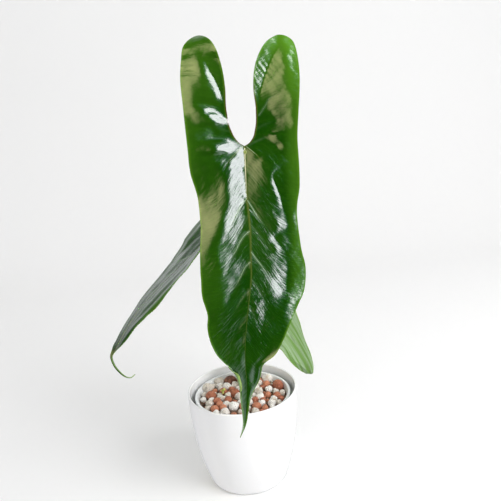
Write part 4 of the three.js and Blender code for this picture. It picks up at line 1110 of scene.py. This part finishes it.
class LeafSettings(bpy.types.PropertyGroup):
    """Sizes and colours of the blades and their stalks."""

    thickness: FloatProperty(
        name="Thickness", description="Thickness of a blade between its veins", default=0.00055, min=0.0002,
        max=0.0012, unit="LENGTH", precision=5)
    gloss: FloatProperty(
        name="Roughness", description="Roughness of the upper face", default=0.12, min=0.05, max=1,
        subtype="FACTOR")
    wrinkle: FloatProperty(
        name="Wrinkles", description="Height of the fine wrinkles of the upper face", default=0.00034, min=0,
        max=0.001, unit="LENGTH", precision=5)
    green_deep: colour_setting("Deep green", "Upper face", (0.0038, 0.04, 0.0001))
    # Lighter green: the blade's own lighter tone, and the colour of its painted glow of light shining
    # through
    green_fresh_and_glow: colour_setting("Fresh green", "Lighter parts of the upper face", (0.095, 0.26, 0.014))
    # Partly the veins' own pale tone, partly painted highlight of light on their raised lines
    vein: colour_setting("Vein", "Branch veins on the upper face", (0.33, 0.46, 0.28))
    # Partly the midrib's own pale tone, partly painted highlight
    rib: colour_setting("Rib", "Midrib near the stalk", (0.55, 0.53, 0.36))
    rib_low: colour_setting("Rib, low", "Midrib farther down", (0.075, 0.11, 0.014))
    # Painted glow of light shining through the thin margin
    edge: colour_setting("Edge", "Thin margin that lets light through", (0.16, 0.34, 0.02))
    under: colour_setting("Underside", "Green streaks of the underside", (0.085, 0.185, 0.02))
    under_light: colour_setting("Underside, light", "Pale streaks of the underside", (0.19, 0.28, 0.14))
    under_edge: colour_setting("Underside edge", "Margin of the underside", (0.22, 0.34, 0.04))
    under_rib: colour_setting("Underside rib", "Raised veins of the underside", (0.25, 0.36, 0.2))
    stalk: colour_setting("Stalk", "Leaf stalk", (0.06, 0.16, 0.02))
    stalk_light: colour_setting("Stalk, light", "Streaks on the leaf stalk", (0.17, 0.3, 0.06))


class MixSettings(bpy.types.PropertyGroup):
    """Numbers, sizes and colours of the stones."""

    seed: IntProperty(name="Seed", description="Seed of the stones' places", default=7, min=0)
    most: IntProperty(
        name="Stones", description="How many stones lie on the bed", default=84, min=26, max=120)
    clay: colour_setting("Clay", "Baked clay", (0.29, 0.095, 0.055))
    clay_light: colour_setting("Clay, light", "Dusty baked clay", (0.55, 0.23, 0.135))
    # Darkest clay: the pebbles' own dark tone, and painted shade on the one shaded stone
    clay_dark_and_shade: colour_setting("Clay, dark", "Darkest pebbles", (0.1, 0.04, 0.03))
    pumice: colour_setting("Pumice", "Clean pumice", (0.9, 0.88, 0.85))
    pumice_grey: colour_setting("Pumice, grey", "Greyer lumps", (0.66, 0.6, 0.53))
    pumice_stain: colour_setting("Pumice stain", "Tan stains", (0.5, 0.33, 0.16))


class PotSettings(bpy.types.PropertyGroup):
    """Colours and fineness of the pots."""

    sides: IntProperty(name="Sides", description="Faces round each pot", default=144, min=36, max=288)
    white: colour_setting("White", "Cover pot", (0.86, 0.86, 0.87))
    white_warm: colour_setting("Warm white", "Faint clouds of the cover pot", (0.84, 0.83, 0.82))
    # Painted light: lighter than the outer white, standing in for light reaching into the pot
    white_inside_lit: colour_setting("White, inside", "Inner wall of the cover pot", (0.97, 0.97, 0.98))
    milky: colour_setting("Milky", "Nursery pot", (0.8, 0.82, 0.84))
    milky_light: colour_setting("Milky, light", "Clouds of the nursery pot", (0.88, 0.89, 0.9))


class StageSettings(bpy.types.PropertyGroup):
    """Light and floor."""

    sky: FloatProperty(
        name="Fill light", description="Brightness of the even light", default=0.83, min=0, soft_max=3)
    key: FloatProperty(
        name="Window light", description="Power of the large soft light on the right", default=15.5, min=0,
        unit="POWER")
    window: FloatProperty(
        name="Window sheen", description="Brightness of the window in reflections", default=24, min=0,
        soft_max=60)
    card: FloatProperty(
        name="Tan sheen", description="Brightness of the tan card in reflections", default=6.5, min=0,
        soft_max=60)
    floor: colour_setting("Floor", "Floor and backdrop", (0.86, 0.86, 0.86))


class PlantSettings(bpy.types.PropertyGroup):
    """All settings of the potted plant."""

    leaves: PointerProperty(type=LeafSettings)
    mix: PointerProperty(type=MixSettings)
    pots: PointerProperty(type=PotSettings)
    stage: PointerProperty(type=StageSettings)


# Pieces


class PLANT_OT_cover_pot(bpy.types.Operator):
    """Builds the white cover pot"""

    bl_idname = "plant.cover_pot"
    bl_label = "Cover pot"

    def execute(self, context):
        look = context.scene.plant.pots
        wall = lambda z: POT_BASE + (POT_RIM - POT_BASE) * (1 - (1 - z / POT_HEIGHT) ** POT_BULGE)
        round_foot = lambda r, z, sin, cos: (r - FOOT_ROUND * (1 - sin), z + FOOT_ROUND * (1 - cos))
        foot = [round_foot(wall(0), 0, np.sin(a), np.cos(a)) for a in np.linspace(0, np.pi / 2, 7)]
        foot = [(r + (wall(z) - wall(0)) * z / FOOT_ROUND, z) for r, z in foot]
        lip_foot = POT_HEIGHT - LIP_ROUND
        lip = [(POT_RIM - LIP_ROUND * (1 - np.cos(a)), lip_foot + LIP_ROUND * np.sin(a))
               for a in np.linspace(0.2, np.pi - 0.2, 9)]
        outside = [(wall(z), z) for z in np.linspace(2 * FOOT_ROUND, lip_foot - 0.3, 26)]
        inside = [(wall(z) - POT_WALL, z) for z in np.linspace(lip_foot - 0.3, POT_FLOOR + 4, 26)]
        heel = wall(POT_FLOOR) - POT_WALL
        cove = [round_foot(heel, POT_FLOOR, np.cos(a), np.sin(a)) for a in np.linspace(0.2, np.pi / 2, 6)]
        rings = [(0, 0), (20, 0), *foot, *outside, *lip, *inside, *cove, (20, POT_FLOOR), (0, POT_FLOOR)]
        points, faces = turned(rings[::-1], look.sides)
        x, y, z = points.T
        # Where the inner wall's painted light goes
        lit_inside = (np.hypot(x, y) < wall(np.clip(z, 0, POT_HEIGHT)) - 1.6) & (z > 1)
        values = {"inside": lit_inside.astype(float)}
        new_piece("cover_pot_shell", points, faces, cover_pot_finish(look), "cover_pot", values)
        return {"FINISHED"}


def nursery_inside(z):
    """Radius of the nursery pot's inner wall at a height."""
    return NURSERY_FOOT + NURSERY_FLARE * (z - NURSERY_FLOOR)


class PLANT_OT_nursery_pot(bpy.types.Operator):
    """Builds the milky nursery pot"""

    bl_idname = "plant.nursery_pot"
    bl_label = "Nursery pot"

    def execute(self, context):
        look = context.scene.plant.pots
        outside = [(nursery_inside(z) + NURSERY_WALL, z) for z in np.linspace(6, 100.6, 16)]
        inside = [(nursery_inside(z), z) for z in np.linspace(100.5, 8, 14)]
        rings = [(0, 3.3), (20, 3.3), *NURSERY_HEEL, *outside, *NURSERY_LIP, *inside,
                 (36.4, 6.2), (35.2, NURSERY_FLOOR), (20, NURSERY_FLOOR), (0, NURSERY_FLOOR)]
        points, faces = turned(rings[::-1], look.sides)
        # Its top rises and falls by 0.35 mm three times round, and is 0.4% out of round
        angle = np.arctan2(points[:, 1], points[:, 0])
        high = fade(points[:, 2], 104, 90)
        points[:, 2] += high * 0.35 * np.cos(3 * angle + 0.6)
        points[:, :2] *= column(1 + high * 0.004 * np.cos(2 * angle + 1.1))
        skin = nursery_pot_finish(look)
        new_piece("nursery_pot_shell", points, faces, skin, "nursery_pot")
        return {"FINISHED"}


def random_run(seed):
    """The same run of numbers from 0 to 1 each time, by 32-bit multiply, shift and exclusive-or."""
    state = seed
    cut = 0xFFFFFFFF
    while True:
        state = (state + 0x6D2B79F5) & cut
        t = ((state ^ (state >> 15)) * (1 | state)) & cut
        t = ((t + (((t ^ (t >> 7)) * (61 | t)) & cut)) & cut) ^ t
        yield (t ^ (t >> 14)) / 4294967296


def placed_stones(look):
    """The landmark stones, and then as many more as find room on the bed. For even draws u, each has the
    radius 3.6 + 2.6 u^1.6 and lies at room sqrt(u) from the axis. Two stones may press into each other by a
    tenth of their radii."""
    draw = random_run(look.seed)
    stones = list(LANDMARK_STONES)
    room = nursery_inside(BED_TOP) - 0.5
    for _ in range(STONE_TRIES):
        if len(stones) >= look.most:
            break
        radius = 3.6 + 2.6 * next(draw) ** 1.6
        away = (room - radius) * np.sqrt(next(draw))
        angle = 2 * np.pi * next(draw)
        kind = "clay" if next(draw) < 0.5 else "pumice"
        x, y = away * np.cos(angle), away * np.sin(angle)
        clear = all(np.hypot(a - x, b - y) > 0.9 * (r + radius) for a, b, r, _ in stones)
        if clear and np.hypot(x - STEM_AXIS[0], y - STEM_AXIS[1]) > STEM_GIRTH + 0.8 * radius:
            stones.append((x, y, radius, kind))
    return stones


def ball(level):
    """Points and triangles of a round ball one unit in radius."""
    shape = bmesh.new()
    bmesh.ops.create_icosphere(shape, subdivisions=level, radius=1)
    points = np.array([v.co[:] for v in shape.verts])
    faces = [[v.index for v in f.verts] for f in shape.faces]
    shape.free()
    return points, faces


def random_turn(draw):
    """A random turn as a 3 by 3 matrix, from the QR parts of a normal random matrix."""
    turn, _ = np.linalg.qr(draw.normal(size=(3, 3)))
    return turn * np.sign(np.linalg.det(turn))


def pebble(way, draw):
    """Clay pebble: a ball with slow lumps, r = 1 + 0.05 ripples, and a slight squash."""
    key = int(draw.integers(1 << 30))
    radius = 1 + 0.045 * ripples(way, key, 8, 1.6, 3) + 0.012 * ripples(way, key + 1, 12, 0.5, 0.9)
    return way * radius[:, None] * draw.uniform(0.9, 1.06, size=3)


def lump(way, draw):
    """Pumice lump: a pitted ball cut by random planes, r = the soft least of offset / (way . normal)."""
    key = int(draw.integers(1 << 30))
    normals = unit(draw.normal(size=(15, 3)))
    offset = draw.uniform(0.74, 1.02, size=15)
    facing = way @ normals.T
    reach = np.where(facing > 0.05, offset / np.maximum(facing, 0.05), 20)
    radius = -np.log(np.exp(-14 * reach).sum(-1) + np.exp(-14 * 1.12)) / 14
    radius += 0.045 * ripples(way, key, 10, 0.5, 1.1) + 0.03 * ripples(way, key + 1, 14, 0.22, 0.45)
    return way * radius[:, None] * draw.uniform(0.92, 1.1, size=3)


class PLANT_OT_potting_mix(bpy.types.Operator):
    """Builds the clay pebbles, the pumice lumps and the grit that they lie in"""

    bl_idname = "plant.potting_mix"
    bl_label = "Clay pebbles and pumice"

    def execute(self, context):
        look = context.scene.plant.mix
        draw = np.random.default_rng(look.seed)
        fine, coarse = ball(4), ball(3)
        made = {"clay": [], "pumice": []}
        stones = placed_stones(look)
        shape_of = {"clay": pebble, "pumice": lump}
        for x, y, radius, kind in stones:
            way, faces = coarse
            points = shape_of[kind](way, draw) @ random_turn(draw)
            centre = np.array([x, y, BED_TOP + 0.34 * radius])
            # The one shaded stone gets the darkest clay colour: painted shade
            shade = np.full(len(way), 0.0 if (x, y) == SHADED_STONE else draw.uniform(0.15, 1))
            made[kind].append((centre + radius * points, faces, shade))
        # Chips that fill the gaps between the stones
        way, faces = ball(2)
        room = nursery_inside(BED_TOP) - 3
        for _ in range(CHIPS):
            away, angle = room * np.sqrt(draw.random()), 2 * np.pi * draw.random()
            radius = draw.uniform(1.3, 2.7)
            x, y = away * np.cos(angle), away * np.sin(angle)
            gap = min(np.hypot(a - x, b - y) - r for a, b, r, _ in stones)
            off_stem = np.hypot(x - STEM_AXIS[0], y - STEM_AXIS[1]) > STEM_GIRTH + radius
            kind = "clay" if draw.random() < 0.55 else "pumice"
            points = shape_of[kind](way, draw) @ random_turn(draw)
            if gap > 0.2 * radius and off_stem:
                centre = np.array([x, y, BED_TOP + 0.5 * radius])
                shade = np.full(len(way), draw.uniform(0.1, 0.9))
                made[kind].append((centre + radius * points, faces, shade))
                stones.append((x, y, radius, kind))
        points, faces, shade = joined(made["clay"])
        new_piece("clay_pebbles", points, faces, clay_finish(look), "potting_mix", {"shade": shade})
        points, faces, shade = joined(made["pumice"])
        new_piece("pumice_lumps", points, faces, pumice_finish(look), None, {"shade": shade})
        self.bed()
        return {"FINISHED"}

    def bed(self):
        """Grit: a level disc over a tapered plug, whose top is roughened by 0.9 mm ripples."""
        edge = lambda z: nursery_inside(z) - 0.35
        radii = np.concatenate([[0, 1.5], np.linspace(3, edge(BED_TOP), 34)])
        top = [(r, BED_TOP) for r in radii]
        side = [(edge(z), z) for z in np.linspace(96, 9, 8)]
        rings = [*top, *side, (edge(6) - 1, 6), (30, 5.1), (0, 5.1)]
        points, faces = turned(rings, 120)
        level = (points[:, 2] == BED_TOP) & (np.hypot(points[:, 0], points[:, 1]) < edge(BED_TOP) - 0.5)
        points[level, 2] += 0.9 * ripples(points[level], 11, 24, 3, 7) - 0.6
        new_piece("grit_bed", points, faces, grit_and_gap_shade_finish(), None)


class PLANT_OT_stem(bpy.types.Operator):
    """Builds the stem, its roots, its papery sheaths and a small sprout in the mix"""

    bl_idname = "plant.stem"
    bl_label = "Stem and roots"

    def execute(self, context):
        # Ring scars about 3 mm apart, and three low ridges that wind round the stem
        scars = lambda along, angle: (
            0.35 * np.cos(2 * np.pi * along / 6.3) ** 8 + 0.18 * np.sin(3 * angle + along / 4)
        )
        points, faces, uv, _ = tube(STEM_PATH, STEM_RADIUS, (1, 0, 0), 48, 120, scars)
        new_piece("stem_stock", points, faces, stem_finish(), "stem", uv=uv)
        roots = []
        for k, path in enumerate(ROOT_PATHS):
            # Soft rings about 12 mm apart and two low ridges
            lumps = lambda along, angle, k=k: (
                0.16 * np.sin(along / 1.9 + k) + 0.1 * np.cos(2 * angle + along / 3 + k)
            )
            roots.append(tube(path, ROOT_RADIUS, (1, 0, 0), 24, 60, lumps)[:3])
        points, faces, uv = joined(roots)
        new_piece("stem_roots", points, faces, root_finish(), None, uv=uv)
        paper = sheath_finish()
        for k, (turn, foot, tip, flare) in enumerate(SHEATHS):
            self.sheath(k, turn, foot, tip, flare, paper)
        self.sprout()
        return {"FINISHED"}

    def sheath(self, k, turn, foot, tip, flare, paper):
        """A pointed strip round the stem: radius = girth + flare t^2.2, half angle = 46 sqrt(1 - 0.93 t^2)
        degrees, with folds along it and a ragged top."""
        t = np.linspace(0, 1, 46)[:, None]
        across = np.linspace(-1, 1, 25)[None, :]
        half = 46 * np.sqrt(1 - 0.93 * t**2)
        angle = np.radians(turn + half * across)
        folds = 0.35 * np.sin(9 * across + 5 * t + k) * t + 0.5 * t**3 * np.sin(14 * across + k)
        radius = STEM_GIRTH + 1.0 + flare * t**2.2 + folds
        lift = (tip - foot) * t * (1 - 0.05 * t * np.abs(np.sin(7 * across + 2 * k)))
        x, y = STEM_AXIS
        points = np.stack([x + radius * np.cos(angle), y + radius * np.sin(angle), foot + lift], -1)
        ids = grid_ids(*points.shape[:2])
        flat = points.reshape(-1, 3)
        solid, faces = closed_sheet(flat, grid_faces(ids[:, ::-1]), np.full(len(flat), 0.45))
        uv = np.stack(np.broadcast_arrays(across, t * (tip - foot) / 20), -1)
        uv = np.tile(uv.reshape(-1, 2), (2, 1))
        new_piece(f"sheath_paper_{k + 1}", solid, faces, paper, f"sheath_{k + 1}", uv=uv)

    def sprout(self):
        """Two bent shoots a few millimetres long with a round bud."""
        f = Finish("sprout_skin")
        colour = f.mix(f.ramp(f.noise(500, 3), 0.35, 0.7), (0.32, 0.42, 0.06), (0.62, 0.6, 0.2))
        skin = f.done(base_color=colour, roughness=0.45)
        shoots = [
            tube([(-23, 3, 104), (-22.4, 2.4, 107.5), (-21, 2, 109.4), (-19.6, 2.2, 109)],
                 [(0, 0.9), (0.6, 1.2), (0.85, 1.5), (1, 0.7)], (0, 1, 0), 14, 24)[:3],
            tube([(-22, 4, 104), (-23.4, 4.6, 107), (-25, 5, 107.8)],
                 [(0, 0.8), (0.7, 1.1), (1, 0.5)], (0, 1, 0), 14, 20)[:3],
        ]
        points, faces, uv = joined(shoots)
        new_piece("sprout", points, faces, skin, None, uv=uv)


class PLANT_OT_stalks(bpy.types.Operator):
    """Builds the three leaf stalks with the swollen joint under each blade"""

    bl_idname = "plant.stalks"
    bl_label = "Leaf stalks"

    def execute(self, context):
        skin = stalk_finish(context.scene.plant.leaves)
        for name, (aside, path) in STALKS.items():
            # Four shallow grooves that wind round the stalk
            grooves = lambda along, angle: 0.05 * np.sin(4 * angle + along / 9)
            points, faces, uv, along = tube(path, STALK_RADIUS, aside, 32, 220, grooves)
            values = {"along": along}
            new_piece(f"stalk_{name}", points, faces, skin, f"petiole_{name}", values, uv)
        return {"FINISHED"}


class PLANT_OT_leaves(bpy.types.Operator):
    """Builds the three blades with their veins, relief and rolled margins"""

    bl_idname = "plant.leaves"
    bl_label = "Leaf blades"

    def execute(self, context):
        look = context.scene.plant.leaves
        wax = blade_finish(look)
        for name, leaf in LEAVES.items():
            points, faces, values, lines = bent_blade(leaf)
            flat = np.stack([values.pop("flat_x"), values.pop("along")], -1)
            solid, faces = closed_sheet(points, faces, look.thickness / MM + values.pop("keel"))
            extra = np.zeros(len(lines[0]))
            attributes = {key: np.concatenate([value, value, extra]) for key, value in values.items()}
            attributes["under"] = np.concatenate([np.repeat([0.0, 1.0], len(points)), extra])
            attributes["branch"][len(solid):] = lines[2]
            attributes["rib"][len(solid):] = lines[3]
            uv = np.concatenate([np.tile(flat * MM, (2, 1)), np.zeros((len(extra), 2))])
            faces = faces + [[v + len(solid) for v in face] for face in lines[1]]
            solid = np.concatenate([solid, lines[0]])
            new_piece(f"blade_{name}", solid, faces, wax, f"leaf_{name}", attributes, uv, sharp=50)
        return {"FINISHED"}


# Stage


class World(Nodes):
    """The light from all round, and the bright zones of the sky in it."""

    def __init__(self):
        world = bpy.data.worlds.new("studio")
        bpy.context.scene.world = world
        world.use_nodes = True
        world.cycles.sampling_method = "NONE"
        super().__init__(world.node_tree)
        self.background = self.nodes["Background"]

    def zone(self, azimuth, elevation, bounds):
        """1 inside a rectangle of directions and 0 outside, with soft edges. Its bounds are in degrees."""
        middle, half, low, high, soft = bounds
        shares = []
        for value, centre, reach in (
            (azimuth, middle, half),
            (elevation, (low + high) / 2, (high - low) / 2),
        ):
            away = self.maths("ABSOLUTE", self.maths("SUBTRACT", value, np.radians(centre)))
            shares.append(self.ramp(away, np.radians(reach + soft), np.radians(max(reach - soft, 0))))
        return self.maths("MULTIPLY", *shares)


# The zones of the sky that reflections show: (middle, half width, lowest, highest, softness) in degrees,
# seen from the plant with 0 towards the front and more to the right, then a colour, and a share of the
# window's sheen or of the tan card's. The window has two panes by three.
REFLECTED = [
    ((middle, 5, low, high, 5), (0.99, 0.92, 1.02), "window", 1.0)
    for low, high in ((-17, 3.5), (4.5, 23.5), (24.5, 43))
    for middle in (31.5, 42.5)
] + [
    ((46, 27, -18, 56, 8), (0.65, 0.95, 1.15), "window", 0.075),
    ((-30, 14, -15, 43, 9), (1.0, 0.86, 0.48), "card", 0.85),
    ((-55, 12, -13, 43, 11), (1.0, 0.9, 0.44), "card", 0.85),
    ((-44, 14, 4, 30, 12), (1.0, 0.9, 0.44), "card", 0.5),
    ((40, 25, -52, -27, 5), (0.9, 0.98, 1.05), "window", 0.16),
    ((130, 45, -80, 80, 15), (1.0, 1.0, 1.0), "window", 0.03),
    ((-130, 45, -80, 80, 15), (1.0, 1.0, 1.05), "window", 0.025),
    ((-150, 26, 2, 60, 10), (1.0, 1.0, 1.04), "window", 0.03),
]


class PLANT_OT_stage(bpy.types.Operator):
    """Sets up the camera, the floor and the light"""

    bl_idname = "plant.stage"
    bl_label = "Camera, floor and light"

    def execute(self, context):
        look = context.scene.plant.stage
        scene = context.scene
        scene.view_settings.view_transform = "Standard"
        scene.view_settings.look = "None"
        self.camera(scene)
        self.floor(look)
        self.lights(look)
        return {"FINISHED"}

    def camera(self, scene):
        """The camera looks along (sin yaw cos down, cos yaw cos down, -sin down), rolled about that line."""
        yaw, down, roll = (np.radians(CAMERA[k]) for k in ("yaw", "down", "roll"))
        ahead = np.array([np.sin(yaw) * np.cos(down), np.cos(yaw) * np.cos(down), -np.sin(down)])
        level = np.array([np.cos(yaw), -np.sin(yaw), 0])
        up = np.cross(level, ahead)
        right = np.cos(roll) * level + np.sin(roll) * up
        top = -np.sin(roll) * level + np.cos(roll) * up
        data = bpy.data.cameras.new("camera")
        data.lens = CAMERA["lens"]
        data.sensor_width = SENSOR
        data.clip_start, data.clip_end = 0.01, 20
        camera = bpy.data.objects.new("camera", data)
        place = Matrix(np.stack([right, top, -ahead], 1).tolist()).to_4x4()
        place.translation = [v * MM for v in CAMERA["place"]]
        camera.matrix_world = place
        scene.collection.objects.link(camera)
        scene.camera = camera

    def floor(self, look):
        """A pale floor that sweeps up behind the plant: level, then a quarter circle, then upright."""
        back, radius, half = (BACKDROP[k] for k in ("back", "radius", "half"))
        bend = np.linspace(0, np.pi / 2, 24)[1:]
        run = [(BACKDROP["front"], 0), (0, 0), (back, 0)]
        run += [(back + radius * np.sin(a), radius - radius * np.cos(a)) for a in bend]
        run = np.array([*run, (back + radius, BACKDROP["top"])])
        x = np.linspace(-half, half, 5)
        points = np.stack(np.broadcast_arrays(x[:, None], run[None, :, 0], run[None, :, 1]), -1)
        ids = grid_ids(*points.shape[:2])
        mesh = bpy.data.meshes.new("backdrop")
        mesh.from_pydata((points.reshape(-1, 3) * MM).tolist(), [], grid_faces(ids))
        mesh.shade_smooth()
        f = Finish("backdrop_paper")
        colour = f.tint(look.floor, f.noise(30, 3), 0.06, (0.8, 0.8, 0.8))
        mesh.materials.append(f.done(base_color=colour, roughness=0.9, specular_ior_level=0.1))
        backdrop = bpy.data.objects.new("backdrop", mesh)
        bpy.context.scene.collection.objects.link(backdrop)
        backdrop.visible_glossy = False

    def lights(self, look):
        """An even white world, dark with bright zones in reflections, and a large light on the right."""
        world = World()
        direction = world.node("ShaderNodeTexCoord").outputs["Generated"]
        way = world.node("ShaderNodeSeparateXYZ", {0: direction})
        azimuth = world.maths("ARCTAN2", way.outputs[0], world.maths("MULTIPLY", way.outputs[1], -1))
        elevation = world.maths("ARCSINE", way.outputs[2])
        sheen = (0.004, 0.005, 0.005)
        strengths = {"window": look.window, "card": look.card}
        for bounds, colour, kind, share in REFLECTED:
            inside = world.zone(azimuth, elevation, bounds)
            lit = world.mix(inside, (0, 0, 0), [strengths[kind] * share * c for c in colour])
            sheen = world.mix(1.0, sheen, lit, "ADD")
        ray = world.node("ShaderNodeLightPath")
        fill = world.mix(ray.outputs["Is Glossy Ray"], (look.sky,) * 3, sheen)
        shown = world.mix(ray.outputs["Is Camera Ray"], fill, (0.95, 0.955, 0.96))
        world.put(world.background.inputs["Color"], shown)
        data = bpy.data.lights.new("window_light", "AREA")
        data.shape = "RECTANGLE"
        data.size, data.size_y = WINDOW_SIZE
        data.energy = look.key
        light = bpy.data.objects.new("window_light", data)
        place = np.array(WINDOW_PLACE)
        back = unit(place - WINDOW_AIM)
        side = unit(np.cross([0, 0, 1], back))
        turn = Matrix(np.stack([side, np.cross(back, side), back], 1).tolist()).to_4x4()
        turn.translation = place.tolist()
        light.matrix_world = turn
        light.visible_glossy = False
        bpy.context.scene.collection.objects.link(light)


class PLANT_PT_sidebar(bpy.types.Panel):
    """Lists the settings and the steps of the potted plant"""

    bl_idname = "PLANT_PT_sidebar"
    bl_label = "Potted plant"
    bl_space_type = "VIEW_3D"
    bl_region_type = "UI"
    bl_category = "Plant"

    def draw(self, context):
        settings = context.scene.plant
        for title, group in (("Leaves", settings.leaves), ("Mix", settings.mix), ("Pots", settings.pots),
                             ("Stage", settings.stage)):
            box = self.layout.box()
            box.label(text=title)
            for key in group.bl_rna.properties.keys():
                if key not in ("rna_type", "name"):
                    box.prop(group, key)
        for step in STEPS:
            self.layout.operator(step.bl_idname)


STEPS = (
    PLANT_OT_cover_pot,
    PLANT_OT_nursery_pot,
    PLANT_OT_potting_mix,
    PLANT_OT_stem,
    PLANT_OT_stalks,
    PLANT_OT_leaves,
    PLANT_OT_stage,
)
CLASSES = (LeafSettings, MixSettings, PotSettings, StageSettings, PlantSettings, *STEPS, PLANT_PT_sidebar)


def register():
    for kind in CLASSES:
        bpy.utils.register_class(kind)
    bpy.types.Scene.plant = PointerProperty(type=PlantSettings)


def unregister():
    del bpy.types.Scene.plant
    for kind in reversed(CLASSES):
        bpy.utils.unregister_class(kind)


def main():
    register()
    bpy.ops.plant.cover_pot()
    bpy.ops.plant.nursery_pot()
    bpy.ops.plant.potting_mix()
    bpy.ops.plant.stem()
    bpy.ops.plant.stalks()
    bpy.ops.plant.leaves()
    bpy.ops.plant.stage()
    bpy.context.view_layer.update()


if __name__ == "__main__":
    main()
